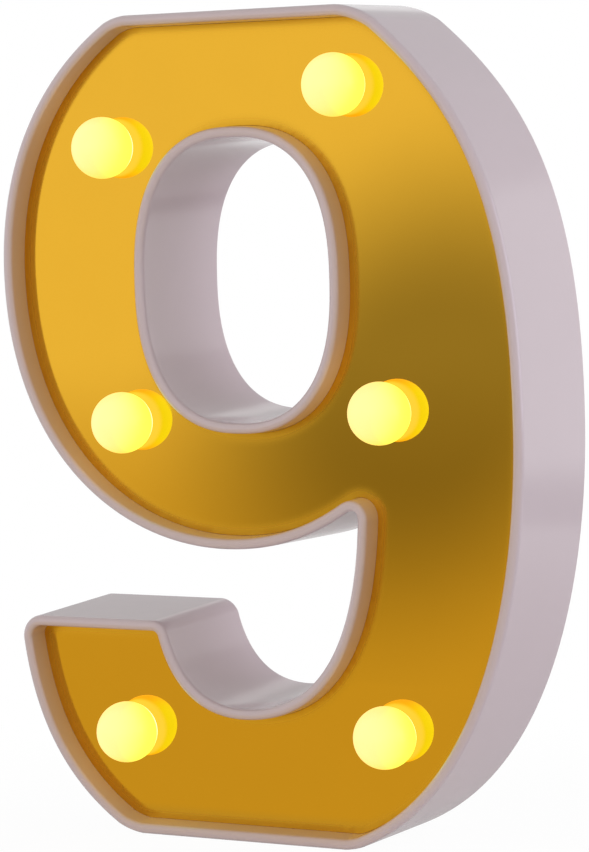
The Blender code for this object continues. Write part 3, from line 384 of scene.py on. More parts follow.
class PowerSettings(bpy.types.PropertyGroup):
    """Settings of the cells, springs, leads and switch"""
    wire_radius: length("Wire", "Radius of the spring wire", 0.3 * mm)
    spring_radius: length("Spring", "Radius of the spring at its wire", 2.9 * mm)
    spring_turns: amount("Turns", "Turns of a contact spring", 3.5, min=1)
    sleeve: colour("Sleeve", "Plain sleeve of a cell", "#2B2C30")
    band: colour("Band", "Band round the positive end of a cell", "#8C8F94")
    nickel: colour("Nickel", "Nickel plated contacts", "#D2CDC3")
    insulation: colour("Insulation", "Insulation of the leads", "#8E1F1A")
    knob: colour("Knob", "Black plastic of the switch", "#1B1B1C")


class StageSettings(bpy.types.PropertyGroup):
    """Settings of the camera, floor and lights"""
    yaw: amount("Yaw", "Turn of the camera to the object's right", 0.4776, subtype='ANGLE')
    pitch: amount("Pitch", "Tilt of the camera downwards", 0.0786, subtype='ANGLE')
    roll: amount("Roll", "Roll of the camera", -0.0265, subtype='ANGLE')
    place: FloatVectorProperty(name="Place", description="Place of the camera",
                               default=(0.38516, -0.73743, 0.17487), subtype='TRANSLATION')
    lens: amount("Lens", "Focal length on a 36 mm high sensor", 132.6, min=1)
    floor: colour("Floor", "Plain pale floor", "#F4F4F4")
    floor_size: length("Floor size", "Width of the floor", 8.0)
    floor_white: amount("Floor white", "How white the floor is to the eye by the object", 0.97,
                        min=0, max=1)
    # painted warm light on the floor by the lit face, seen only in gloss
    floor_glow: colour("Floor glow", "The floor by the object as the mirror shows it", "#D7C993")
    # painted shade on the floor behind the object, seen only in gloss
    floor_shade: colour("Floor shade", "The floor behind the object as gloss shows it", "#C4C0BF")
    soft_light: amount("Soft light", "Strength of the light all round", 0.56, min=0)
    side_power: amount("Side light", "Power of the right softbox", 8.4, min=0, subtype='POWER')
    back_power: amount("Back light", "Power of the back fill", 8, min=0, subtype='POWER')
    front_power: amount("Front light", "Power of the front fill", 9, min=0, subtype='POWER')


Outline = namedtuple("Outline", "points mitres into draft")


def shell_sizes():
    """The settings of the tray, which most pieces share."""
    return bpy.context.scene.marquee_shell


def at_share(share):
    """A place of the outline at the front of the wall, before the draft moves it out."""
    draft = shell_sizes().draft
    half_width = (SHELL_HIGH.x - SHELL_LOW.x) / 2 - draft
    height = SHELL_HIGH.z - SHELL_LOW.z - draft
    return Vector((share[0] * half_width, share[1] * height))


def trimmed(points, start_length, end_length):
    """A polyline without a length at each end."""
    for cut_length in (start_length, end_length):
        left = cut_length
        points = list(points)
        while left > 0:
            step = (points[1] - points[0]).length
            if step > left:
                points[0] = points[0].lerp(points[1], left / step)
                left = 0
            else:
                left -= step
                points.pop(0)
        points.reverse()
    return points


def thinned(points):
    """The points of a dense curve that its turning needs, or a line with support near its ends."""
    if len(points) < 3:
        first, last = points
        share = SUPPORT / (last - first).length
        return [first, first.lerp(last, share), last.lerp(first, share), last]
    turn = 0
    for before, here, after in zip(points, points[1:], points[2:]):
        turn += abs((here - before).angle_signed(after - here))
    steps = max(2, math.ceil(turn / OUTLINE_TURN))
    last = len(points) - 1
    return [points[round(last * step / steps)] for step in range(steps + 1)]


def outline_of(points, into, draft=0.0):
    """An outline with the outward mitre of each point. Into says where the material lies."""
    mitres = []
    count = len(points)
    for index, point in enumerate(points):
        before = (point - points[index - 1]).normalized()
        after = (points[(index + 1) % count] - point).normalized()
        first = Vector((-before.y, before.x))
        second = Vector((-after.y, after.x))
        mitres.append((first + second) / (1 + first.dot(second)))
    return Outline(points, mitres, into, draft)


def number_outline():
    """The nine's outline: its stretches, with a rounded corner where they meet at an angle."""
    stretches = []
    start = at_share(START_SHARE)
    for rounding, shares in STRETCH_SHARES:
        ends = [at_share(share) for share in shares]
        if len(ends) == 1:
            points = [start, ends[0]]
        else:
            points = interpolate_bezier(start, *ends, CURVE_SAMPLES)
        stretches.append((rounding, points))
        start = ends[-1]
    points = []
    for index, (rounding, stretch) in enumerate(stretches):
        next_rounding = stretches[(index + 1) % len(stretches)][0]
        run = thinned(trimmed(stretch, rounding, next_rounding))
        previous_rounding, previous = stretches[index - 1]
        if rounding:
            corner = stretch[0]
            last = trimmed(previous, previous_rounding, rounding)[-1]
            curve = interpolate_bezier(
                last, last.lerp(corner, CORNER_REACH_SHARE),
                run[0].lerp(corner, CORNER_REACH_SHARE), run[0], CURVE_SAMPLES)
            points.extend(thinned(curve)[1:-1])
        points.extend(run if next_rounding else run[:-1])
    return outline_of(points, -1, shell_sizes().draft / BODY_DEPTH)


def counter_outline():
    """The counter's outline, an ellipse with squared shoulders."""
    low = at_share((-1, BOWL_BASE_SHARE)) + Vector((STROKE_LEFT, STROKE_BOTTOM))
    high = at_share((1, 1)) - Vector((STROKE_RIGHT, STROKE_TOP))
    middle = (low + high) / 2
    reach = (high - low) / 2
    power = 2 / COUNTER_SQUARENESS
    points = []
    for step in range(COUNTER_STEPS):
        angle = -2 * math.pi * step / COUNTER_STEPS
        across = math.copysign(abs(math.cos(angle)) ** power, math.cos(angle))
        up = math.copysign(abs(math.sin(angle)) ** power, math.sin(angle))
        points.append(middle + Vector((across * reach.x, up * reach.y)))
    return outline_of(points, 1, shell_sizes().draft / BODY_DEPTH)


def circle_outline(centre, radius, into=1):
    """A round outline, of a hole unless into says that the material is inside."""
    points = []
    for step in range(HOLE_STEPS):
        angle = -2 * math.pi * step / HOLE_STEPS
        points.append(Vector(centre) + radius * Vector((math.cos(angle), math.sin(angle))))
    return outline_of(points, into)


def cornered_outline(corners, into):
    """A clockwise outline through corners, each a place and its rounding."""
    points = []
    count = len(corners)
    for index, (place, rounding) in enumerate(corners):
        before = corners[index - 1][0]
        after = corners[(index + 1) % count][0]
        start = place + (before - place).normalized() * rounding
        end = place + (after - place).normalized() * rounding
        points += interpolate_bezier(
            start, start.lerp(place, CORNER_REACH_SHARE), end.lerp(place, CORNER_REACH_SHARE),
            end, ROUND_STEPS)
    return outline_of(points, into)


def box_outline(low, high, rounding, into=1):
    """An upright box between two corners, each an x and a height, with rounded corners."""
    corners = [Vector((low[0], low[1])), Vector((low[0], high[1])),
               Vector((high[0], high[1])), Vector((high[0], low[1]))]
    return cornered_outline([(corner, rounding) for corner in corners], into)


def keyhole_outline(x):
    """A round entry with a slot that rises from it to a round end."""
    cover = bpy.context.scene.marquee_cover
    entry = Vector((x, cover.keyhole_height))
    top = entry + Vector((0, cover.keyhole_rise))
    half_turn = HOLE_STEPS // 2
    mouth = math.asin(cover.keyhole_slot / cover.keyhole_radius)
    points = []
    for step in range(HOLE_STEPS + 1):
        angle = mouth + (2 * math.pi - 2 * mouth) * step / HOLE_STEPS
        points.append(entry + cover.keyhole_radius * Vector((math.sin(angle), math.cos(angle))))
    for step in range(half_turn + 1):
        angle = -math.pi / 2 + math.pi * step / half_turn
        points.append(top + cover.keyhole_slot * Vector((math.sin(angle), math.cos(angle))))
    return outline_of(points, 1)


def ring(outline, inset, depth):
    """An outline moved into the material from the wall. The base has no draft."""
    shift = outline.into * (inset - outline.draft * depth)
    placed = []
    for point, mitre in zip(outline.points, outline.mitres):
        moved = point + mitre * shift
        placed.append(Vector((moved.x, y_at(depth), max(moved.y, inset))))
    return placed


def rounded(inset, depth, inset_side, depth_side, radius):
    """Rings of a rounded edge, from its face to its wall, each an inset and a depth."""
    rings = []
    for step in range(ROUND_STEPS + 1):
        angle = math.pi / 2 * step / ROUND_STEPS
        rings.append((inset + inset_side * radius * (1 - math.sin(angle)),
                      depth + depth_side * radius * (1 - math.cos(angle))))
    return rings


def sweep(build, outline, rings, starts=None, ends=None, layer=None, shares=()):
    """Loops of an outline at each ring, joined by faces. The first loop joins the starts and the
    last one the ends, to be filled later. A loop without such a list is filled at once. The layer
    stores a share for each of the first rings."""
    loops = []
    for inset, depth in rings:
        loops.append([build.verts.new(point) for point in ring(outline, inset, depth)])
    count = len(loops[0])
    for near, far in zip(loops, loops[1:]):
        for index in range(count):
            following = (index + 1) % count
            build.faces.new((near[index], near[following], far[following], far[index]))
    for loop, share in zip(loops, shares):
        for vertex in loop:
            vertex[layer] = share
    for loop, others in ((loops[0], starts), (loops[-1], ends)):
        if others is None:
            fill(build, loop)
        else:
            others.append(loop)


def fill(build, *loops):
    """A flat face inside the first loop and outside the rest."""
    edges = []
    for loop in loops:
        for index, vertex in enumerate(loop):
            following = loop[(index + 1) % len(loop)]
            edges.append(build.edges.get((vertex, following))
                         or build.edges.new((vertex, following)))
    bmesh.ops.triangle_fill(build, use_beauty=True, use_dissolve=False, edges=edges)


def add_object(name, data):
    """A new object in the scene."""
    item = bpy.data.objects.new(name, data)
    bpy.context.scene.collection.objects.link(item)
    return item


def shade(data):
    """Smooth shading, but for the edges that turn sharply."""
    data.shade_smooth()
    data.set_sharp_from_angle(angle=SHARP_TURN)


def to_piece(name, build, materials=()):
    """A closed mesh object with its normals out and its edges sharp by angle."""
    bmesh.ops.recalc_face_normals(build, faces=build.faces)
    data = bpy.data.meshes.new(name)
    build.to_mesh(data)
    build.free()
    shade(data)
    for material in materials:
        data.materials.append(material)
    return add_object(name, data)


def settle(item):
    """Keep the evaluated shape of an object as its plain mesh, without modifiers."""
    bpy.context.view_layer.update()
    evaluated = item.evaluated_get(bpy.context.evaluated_depsgraph_get())
    data = bpy.data.meshes.new_from_object(evaluated)
    item.modifiers.clear()
    item.data = data
    shade(data)
    return item


def combine(item, other, operation):
    """Cut another object out of one, or join it on. The other is then removed."""
    modifier = item.modifiers.new("combine", 'BOOLEAN')
    modifier.operation = operation
    modifier.solver = 'EXACT'
    modifier.object = other
    settle(item)
    bpy.data.objects.remove(other, do_unlink=True)


def blocks(name, spans, bevel=0.0):
    """Boxes in one object, each between a low and a high corner."""
    build = bmesh.new()
    for low, high in spans:
        size = Vector(high) - Vector(low)
        middle = (Vector(low) + Vector(high)) / 2
        matrix = Matrix.Translation(middle) @ Matrix.Diagonal((*size, 1))
        bmesh.ops.create_cube(build, size=1, matrix=matrix)
    if bevel:
        bmesh.ops.bevel(build, geom=build.edges, offset=bevel, segments=ROUND_STEPS // 2,
                        affect='EDGES', profile=0.5)
    return to_piece(name, build)


def turned(profile, steps, materials=(), name="turned"):
    """A piece turned about Z. Each profile point has a radius, a height and a finish index."""
    build = bmesh.new()
    vertices = [build.verts.new((radius, 0, height)) for radius, height, _ in profile]
    edges = [build.edges.new(pair) for pair in zip(vertices, vertices[1:])]
    finishes = [finish for _, _, finish in profile[1:]]
    bmesh.ops.spin(build, geom=vertices + edges, cent=(0, 0, 0), axis=(0, 0, 1),
                   angle=2 * math.pi, steps=steps, use_merge=True)
    middles = [((a[0] + b[0]) / 2, (a[1] + b[1]) / 2) for a, b in zip(profile, profile[1:])]
    for face in build.faces:
        centre = face.calc_center_median()
        radius = math.hypot(centre.x, centre.y)
        nearest = min(range(len(middles)), key=lambda index: math.hypot(
            middles[index][0] - radius, middles[index][1] - centre.z))
        face.material_index = finishes[nearest]
    bmesh.ops.remove_doubles(build, verts=build.verts, dist=MERGE_DISTANCE)
    return to_piece(name, build, materials)


def arc(radius, start, end, steps, centre=(0.0, 0.0), finish=0):
    """Profile points on a circle, between two angles off the axis. The centre is a radius and
    a height."""
    points = []
    for step in range(steps + 1):
        angle = start + (end - start) * step / steps
        points.append((centre[0] + radius * math.sin(angle),
                       centre[1] + radius * math.cos(angle), finish))
    return points


def sheet(name, corners, material):
    """A flat sheet of one face."""
    data = bpy.data.meshes.new(name)
    data.from_pydata(corners, [], [(0, 1, 2, 3)])
    data.materials.append(material)
    return add_object(name, data)


def coat(item, material):
    """Give an object one material in place of those it has."""
    item.data.materials.clear()
    item.data.materials.append(material)


def finished(piece, body, slot, *nodes):
    """Hand a finished piece to its body and hide the nodes it stands for. The slot is not used."""
    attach(piece, body)
    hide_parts(*nodes)


SMOOTH = {"interpolation_type": 'SMOOTHSTEP'}
RGBA = {"data_type": 'RGBA'}
LARGER = {"operation": 'MAXIMUM'}
PRODUCT = {"operation": 'MULTIPLY'}
Finish = namedtuple("Finish", "material tree shader coordinates")
Noise = namedtuple("Noise", "size detail roughness", defaults=(2.0, 0.5))


def set_inputs(node, inputs):
    """Link each input that is given a socket, and give the others their plain value."""
    for name, value in inputs.items():
        if isinstance(value, bpy.types.NodeSocket):
            node.id_data.links.new(value, node.inputs[name])
        else:
            node.inputs[name].default_value = value


def add_node(tree, kind, inputs=None, settings=None, output=None):
    """Add a node with its inputs and settings, and give its named or its first output in use."""
    made = tree.nodes.new(kind)
    for name, value in (settings or {}).items():
        setattr(made, name, value)
    set_inputs(made, inputs or {})
    if output:
        return made.outputs[output]
    return next((socket for socket in made.outputs if socket.enabled), None)


def new_finish(name):
    """A material with its tree, its Principled BSDF and Object coordinates."""
    material = bpy.data.materials.new(name)
    material.use_nodes = True
    tree = material.node_tree
    coordinates = add_node(tree, "ShaderNodeTexCoord", output="Object")
    return Finish(material, tree, tree.nodes["Principled BSDF"], coordinates)


def texture(finish, base, dark_share, cloud, gloss=None, roughness=(), waves=None, relief=0.0):
    """Darken a base colour to a share of it by one noise, spread the roughness between two
    values by another and raise the surface by a third. Gives the inputs of the shader."""
    sources = {}
    for noise in (cloud, gloss, waves):
        if noise and noise not in sources:
            sources[noise] = add_node(finish.tree, "ShaderNodeTexNoise", {
                "Scale": 1 / noise.size, "Detail": noise.detail, "Roughness": noise.roughness,
                "Vector": finish.coordinates}, output="Fac")
    dark = [channel * dark_share for channel in base]
    made = {"Base Color": add_node(finish.tree, "ShaderNodeMix", {
        "A": (*dark, 1), "B": (*base, 1), "Factor": sources[cloud]}, RGBA)}
    if gloss:
        made["Roughness"] = add_node(finish.tree, "ShaderNodeMapRange", {
            "To Min": roughness[0], "To Max": roughness[1], "Value": sources[gloss]})
    if waves:
        made["Normal"] = add_node(finish.tree, "ShaderNodeBump", {
            "Distance": relief, "Strength": 1.0, "Height": sources[waves]})
    set_inputs(finish.shader, made)
    return made


def glossy_white_abs():
    """ABS moulded in a polished tool: an even gloss with a faint waviness over the walls, and a
    painted amber bounce and shade that grows down the recess wall towards the gold sheet, standing
    in for the sheet's reflected light and the darkening at its foot."""
    finish = new_finish("glossy_white_abs")
    sizes = shell_sizes()
    made = texture(finish, sizes.plastic, 0.965, Noise(45 * mm), Noise(9 * mm, 4.0), (0.1, 0.17),
                   Noise(14 * mm, 1.0), 0.05 * mm)
    # painted amber bounce and shade, stored on the vertices down the recess wall
    tint = add_node(finish.tree, "ShaderNodeAttribute", settings={"attribute_name": PAINTED_GOLD_BOUNCE},
                    output="Fac")
    coloured = add_node(finish.tree, "ShaderNodeMix", {
        "A": made["Base Color"], "B": (*sizes.recess_painted_bounce, 1), "Factor": tint}, RGBA)
    set_inputs(finish.shader, {"Base Color": coloured, "IOR": 1.54, "Coat Weight": 0.15,
                               "Coat Roughness": 0.08})
    return finish.material


def grained_white_abs():
    """The same ABS moulded against spark eroded steel: a fine matt grain."""
    finish = new_finish("grained_white_abs")
    pits = Noise(bpy.context.scene.marquee_cover.grain, 3.0, 0.6)
    texture(finish, shell_sizes().plastic, 0.96, Noise(40 * mm), pits, (0.38, 0.52), pits,
            0.02 * mm)
    set_inputs(finish.shader, {"IOR": 1.54})
    return finish.material


def gold_mirror_acrylic():
    """Acrylic sheet with a gold vacuum coating: sharp reflections and a very slight waviness,
    with a haze along the cut edge."""
    finish = new_finish("gold_mirror_acrylic")
    face = bpy.context.scene.marquee_face
    cloud = Noise(12 * mm, 3.0)
    made = texture(finish, face.gold, 0.97, cloud, cloud,
                   (0.8 * face.roughness, 1.2 * face.roughness), Noise(60 * mm, 1.0), 0.03 * mm)
    edge = add_node(finish.tree, "ShaderNodeAttribute", settings={"attribute_name": EDGE_HAZE},
                    output="Fac")
    softened = add_node(finish.tree, "ShaderNodeMapRange", {
        "To Max": face.haze, "Value": edge}, SMOOTH)
    hazed = add_node(finish.tree, "ShaderNodeMath", {
        0: softened, 1: made["Roughness"]}, {"operation": 'ADD'})
    set_inputs(finish.shader, {"Roughness": hazed, "Metallic": 1.0})
    return finish.material


def frosted_lit_plastic():
    """Frosted polypropylene lit by a warm diode, greener at the neck and near white at the back,
    which the gold sheet mirrors. Its paler top left is a painted highlight and its brighter,
    greener right side is painted light."""
    finish = new_finish("frosted_lit_polypropylene")
    tree = finish.tree
    bulb = bpy.context.scene.marquee_bulb
    frost = Noise(1.2 * mm, 3.0)
    texture(finish, bulb.skin, 0.97, frost, frost, (0.36, 0.48), frost, 0.01 * mm)
    depth = add_node(tree, "ShaderNodeSeparateXYZ", {"Vector": finish.coordinates}, output="Y")
    facing = add_node(tree, "ShaderNodeTexCoord", output="Normal")
    ways = add_node(tree, "ShaderNodeSeparateXYZ", {"Vector": facing}).node.outputs
    # painted highlight towards the top left, by the way that the surface faces
    highlight_facing = add_node(tree, "ShaderNodeVectorMath", {
        0: facing, 1: PAINTED_HIGHLIGHT_WAY}, {"operation": 'DOT_PRODUCT'})
    neck_span = [BULB_LOW.y + share * bulb.radius for share in NECK_SPAN]
    glow = (*bulb.glow, 1)
    # the side and pale tints are painted light and a painted highlight; the neck and back tints
    # are the diode's own glow
    for added, source, (start, end), most in (
            (bulb.painted_side_light, ways["X"], PAINTED_SIDE_SPAN, 1),
            (bulb.neck, depth, neck_span, 1),
            (bulb.painted_highlight_glow, highlight_facing, PAINTED_HIGHLIGHT_SPAN, PAINTED_HIGHLIGHT_MOST),
            (bulb.back_glow, ways["Y"], BACK_SPAN, 1)):
        share = add_node(tree, "ShaderNodeMapRange", {
            "From Min": start, "From Max": end, "To Max": most, "Value": source}, SMOOTH)
        glow = add_node(tree, "ShaderNodeMix", {
            "A": glow, "B": (*added, 1), "Factor": share}, RGBA)
    set_inputs(finish.shader, {"Emission Color": glow, "Emission Strength": bulb.strength,
                               "IOR": 1.49})
    return finish.material


def clear_epoxy():
    """Cast epoxy of a lit diode: clear gloss with a warm glow from the chip."""
    finish = new_finish("lit_clear_epoxy")
    glow = linear("#FFDFA0")
    texture(finish, glow, 0.9, Noise(2 * mm))
    set_inputs(finish.shader, {"Emission Color": (*glow, 1), "Emission Strength": 1.5,
                               "Roughness": 0.08, "IOR": 1.52})
    return finish.material


def plated_metal(name, base, roughness):
    """Plated steel: bright with fine tumbling marks, and a little darker in the hollows."""
    finish = new_finish(name)
    marks = Noise(0.6 * mm, 4.0, 0.6)
    texture(finish, base, 0.85, marks, marks, roughness, marks, 0.01 * mm)
    set_inputs(finish.shader, {"Metallic": 1.0})
    return finish.material


def zinc_plated_steel():
    """Zinc over the cover screws: cool and half bright."""
    return plated_metal("zinc_plated_steel", bpy.context.scene.marquee_screw.steel, (0.22, 0.36))


def nickel_plated_steel():
    """Nickel over the contacts, springs and cell ends: warm and bright."""
    return plated_metal("nickel_plated_steel", bpy.context.scene.marquee_power.nickel,
                        (0.12, 0.24))


def cell_band():
    """Metallic ink round the positive end of a cell."""
    return plated_metal("metallic_ink", bpy.context.scene.marquee_power.band, (0.28, 0.4))


def plain_plastic(name, base, size, roughness, relief):
    """A moulded or extruded plastic with a fine even texture."""
    finish = new_finish(name)
    grain = Noise(size, 3.0)
    texture(finish, base, 0.9, grain, grain, roughness, grain, relief)
    set_inputs(finish.shader, {"IOR": 1.5})
    return finish.material


def black_nylon():
    """Glass filled nylon of the slide switch: a dry, slightly uneven black."""
    return plain_plastic("moulded_black_nylon", bpy.context.scene.marquee_power.knob, 0.4 * mm,
                         (0.4, 0.55), 0.02 * mm)


def cell_sleeve():
    """Shrunk PVC sleeve of a cell: smooth, dark and fairly glossy."""
    return plain_plastic("shrunk_dark_pvc", bpy.context.scene.marquee_power.sleeve, 5 * mm,
                         (0.2, 0.3), 0.01 * mm)


def lead_insulation():
    """Extruded PVC round a stranded wire: satin, with faint die lines."""
    return plain_plastic("extruded_red_pvc", bpy.context.scene.marquee_power.insulation,
                         1.5 * mm, (0.35, 0.5), 0.02 * mm)


def new_tree(name, sockets):
    """A geometry node tree that takes these sockets, and their outputs inside it."""
    tree = bpy.data.node_groups.new(name, 'GeometryNodeTree')
    for label, kind in sockets.items():
        tree.interface.new_socket(label, in_out='INPUT', socket_type=f"NodeSocket{kind}")
    tree.interface.new_socket("Geometry", in_out='OUTPUT', socket_type='NodeSocketGeometry')
    return tree, add_node(tree, "NodeGroupInput").node.outputs


def close_tree(tree, geometry, finish):
    """Make the geometry of a tree real, coat it and hand it out."""
    real = add_node(tree, "GeometryNodeRealizeInstances", {"Geometry": geometry})
    coated = add_node(tree, "GeometryNodeSetMaterial", {
        "Geometry": real, "Material": finish})
    add_node(tree, "NodeGroupOutput", {"Geometry": coated})
    return tree


def repeat_tree(name):
    """Geometry nodes that place one piece at every point, turned about its axis by chance."""
    tree, given = new_tree(name, {
        "Points": "Geometry", "Piece": "Object", "Finish": "Material", "Facing": "Vector",
        "Turn": "Float", "Seed": "Int"})
    piece = add_node(tree, "GeometryNodeObjectInfo", {"Object": given["Piece"]}, output="Geometry")
    angle = add_node(tree, "FunctionNodeRandomValue", {
        "Max": given["Turn"], "Seed": given["Seed"]}, {"data_type": 'FLOAT'})
    axis_turn = add_node(tree, "ShaderNodeCombineXYZ", {"Z": angle})
    placed = add_node(tree, "GeometryNodeInstanceOnPoints", {
        "Points": given["Points"], "Instance": piece, "Rotation": given["Facing"]})
    turned_round = add_node(tree, "GeometryNodeRotateInstances", {
        "Instances": placed, "Rotation": axis_turn})
    return close_tree(tree, turned_round, given["Finish"])


def wire_tree(name):
    """Geometry nodes that draw a round wire along the points of a mesh line."""
    tree, given = new_tree(name, {
        "Path": "Geometry", "Radius": "Float", "Sides": "Int", "Finish": "Material"})
    path = add_node(tree, "GeometryNodeMeshToCurve", {"Mesh": given["Path"]})
    section = add_node(tree, "GeometryNodeCurvePrimitiveCircle", {
        "Radius": given["Radius"], "Resolution": given["Sides"]}, output="Curve")
    wire = add_node(tree, "GeometryNodeCurveToMesh", {
        "Fill Caps": True, "Curve": path, "Profile Curve": section})
    return close_tree(tree, wire, given["Finish"])


def run_tree(name, points, edges, tree, values):
    """A mesh of points that a node tree turns into a piece."""
    data = bpy.data.meshes.new(name)
    data.from_pydata(points, edges, [])
    item = add_object(name, data)
    modifier = item.modifiers.new(tree.name, 'NODES')
    modifier.node_group = tree
    for socket in tree.interface.items_tree:
        if socket.in_out == 'INPUT' and socket.name in values:
            modifier[socket.identifier] = values[socket.name]
    return settle(item)


def repeated(name, tree_name, template, nodes, y, values):
    """A template repeated in the middle of each node, at one y, and then removed."""
    points = [(x, y, z) for x, z in map(plan, nodes)]
    item = run_tree(name, points, [], repeat_tree(tree_name), {"Piece": template, **values})
    bpy.data.objects.remove(template, do_unlink=True)
    return item


class MARQUEE_OT_shell(bpy.types.Operator):
    """Mould the tray: outer wall, rim, recess, counter wall, floor and screw bosses"""
    bl_idname = "marquee.shell"
    bl_label = "Tray"

    def execute(self, context):
        sizes = context.scene.marquee_shell
        wall = BODY_DEPTH
        edge = sizes.edge_round
        rings = [(sizes.rim_width + sizes.recess_draft, sizes.floor_front)]
        rings += [(sizes.rim_width + sizes.recess_draft * SUPPORT / sizes.floor_front,
                   sizes.rim_inner_round + SUPPORT)]
        rings += rounded(sizes.rim_width, 0, -1, 1, sizes.rim_inner_round)[::-1]
        rings += rounded(0, 0, 1, 1, sizes.rim_round)
        rings += [(0, sizes.rim_round + SUPPORT), (0, wall - edge - SUPPORT)]
        rings += rounded(0, wall, 1, -1, edge)[::-1]
        rings += rounded(sizes.lip_wall, wall, -1, -1, edge)
        rings += [(sizes.lip_wall, sizes.ledge_depth), (sizes.side_wall, sizes.ledge_depth),
                  (sizes.side_wall, sizes.floor_back)]
        build = bmesh.new()
        # the painted amber bounce and shade, a share for each of the first rings
        tint = build.verts.layers.float.new(PAINTED_GOLD_BOUNCE)
        front_loops, back_loops = [], []
        for outline in (number_outline(), counter_outline()):
            sweep(build, outline, rings, front_loops, back_loops, tint, PAINTED_BOUNCE_SHARES)

        # holes for the spigots, and bored bosses for the screws
        radius = context.scene.marquee_bulb.spigot_radius + sizes.clearance
        for node in BULB_NODES:
            sweep(build, circle_outline(plan(node), radius),
                  [(0, sizes.floor_front), (0, sizes.floor_back)], front_loops, back_loops)
        bore = sizes.boss_radius - context.scene.marquee_cover.screw_hole
        bore_end = SCREW_LOW.y - FRONT_Y - sizes.clearance
        for node in SCREW_NODES:
            sweep(build, circle_outline(plan(node), sizes.boss_radius, into=-1),
                  [(0, sizes.floor_back), (0, sizes.ledge_depth), (bore, sizes.ledge_depth),
                   (bore, bore_end)], back_loops)
        fill(build, *front_loops)
        fill(build, *back_loops)
        shell = to_piece("tray_shell", build, [glossy_white_abs()])
        finished(shell, "housing", "shell", "front_shell")
        return {'FINISHED'}


class MARQUEE_OT_face(bpy.types.Operator):
    """Cut the gold mirror sheet that lies on the recess floor"""
    bl_idname = "marquee.face"
    bl_label = "Mirror face"

    def execute(self, context):
        sizes = context.scene.marquee_shell
        edge = context.scene.marquee_face.edge_round
        radius = context.scene.marquee_bulb.spigot_radius + sizes.clearance
        inset = sizes.rim_width + sizes.recess_draft * FACE_FRONT / sizes.floor_front + FACE_GAP
        rings = rounded(inset, FACE_FRONT, 1, 1, edge)
        rings += rounded(inset, FACE_BACK, 1, -1, edge)[::-1]
        build = bmesh.new()
        build.verts.layers.float.new(EDGE_HAZE)
        front_loops, back_loops = [], []
        for outline in (number_outline(), counter_outline()):
            sweep(build, outline, rings, front_loops, back_loops)
        for node in BULB_NODES:
            sweep(build, circle_outline(plan(node), radius), [(0, FACE_FRONT), (0, FACE_BACK)],
                  front_loops, back_loops)
        self.haze_edges(build, front_loops, context.scene.marquee_face.haze_width)
        fill(build, *back_loops)
        face = to_piece("gold_mirror_sheet", build, [gold_mirror_acrylic()])
        finished(face, "housing", "mirror", "mirror_face")
        return {'FINISHED'}

    def haze_edges(self, build, loops, width):
        """Fill the front with a fine grid that stores the haze, which is full at the cut edge."""
        haze = build.verts.layers.float[EDGE_HAZE]
        corners = []
        for loop in loops[:2]:
            for index, vertex in enumerate(loop):
                start, end = vertex.co, loop[(index + 1) % len(loop)].co
                up = Vector((0, width, 0))
                corners += [start - up, end - up, end + up, start + up]
        quads = [tuple(range(first, first + 4)) for first in range(0, len(corners), 4)]
        walls = BVHTree.FromPolygons(corners, quads)
        before = set(build.faces)
        fill(build, *loops)
        front = [face for face in build.faces if face not in before]
        geometry = list({part for face in front for part in (*face.verts, *face.edges)}) + front
        spans = ((Vector((1, 0, 0)), FACE_LOW.x, FACE_HIGH.x),
                 (Vector((0, 0, 1)), FACE_LOW.z, FACE_HIGH.z))
        for axis, low, high in spans:
            for step in range(1, math.ceil((high - low) / GRID_STEP)):
                geometry = bmesh.ops.bisect_plane(
                    build, geom=geometry, plane_co=axis * (low + step * GRID_STEP), plane_no=axis
                )["geom"]
        for vertex in {part for part in geometry if isinstance(part, bmesh.types.BMVert)}:
            distance = walls.find_nearest(vertex.co)[3]
            vertex[haze] = max(0, 1 - distance / width)


class MARQUEE_OT_bulbs(bpy.types.Operator):
    """Blow the hollow frosted ball once and repeat it over the face"""
    bl_idname = "marquee.bulbs"
    bl_label = "Ball bulbs"

    def execute(self, context):
        sizes = context.scene.marquee_shell
        bulb = context.scene.marquee_bulb
        centre_depth = BULB_LOW.y + bulb.radius - FRONT_Y
        shoulder = FACE_FRONT - centre_depth - sizes.clearance
        shoulder_angle = math.pi - math.acos(shoulder / bulb.radius)
        inner_radius = bulb.radius - bulb.wall
        mouth_angle = math.pi - math.asin(bulb.bore_radius / inner_radius)
        bead_start = centre_depth - sizes.floor_back - sizes.clearance
        bead_end = bead_start - bulb.bead_width
        tail = -(BULB_HIGH.y - FRONT_Y - centre_depth)
        profile = arc(bulb.radius, 0, shoulder_angle, BALL_STEPS)
        profile += [(bulb.spigot_radius, -shoulder, 0), (bulb.spigot_radius, bead_start, 0)]
        profile += [(bulb.spigot_radius + bulb.bead, bead_start, 0)]
        profile += [(bulb.spigot_radius, bead_end, 0), (bulb.spigot_radius, tail, 0)]
        profile += [(bulb.bore_radius, tail, 0)]
        profile += arc(inner_radius, mouth_angle, 0, BALL_INNER_STEPS)
        template = turned(profile, BALL_TURN_STEPS)
        bulbs = repeated("ball_bulbs", "bulbs_on_face", template, BULB_NODES,
                         y_at(centre_depth), {"Finish": frosted_lit_plastic(),
                                              "Facing": FACING_FRONT, "Turn": 0.0, "Seed": 0})
        finished(bulbs, "housing", "bulb", *BULB_NODES)
        return {'FINISHED'}


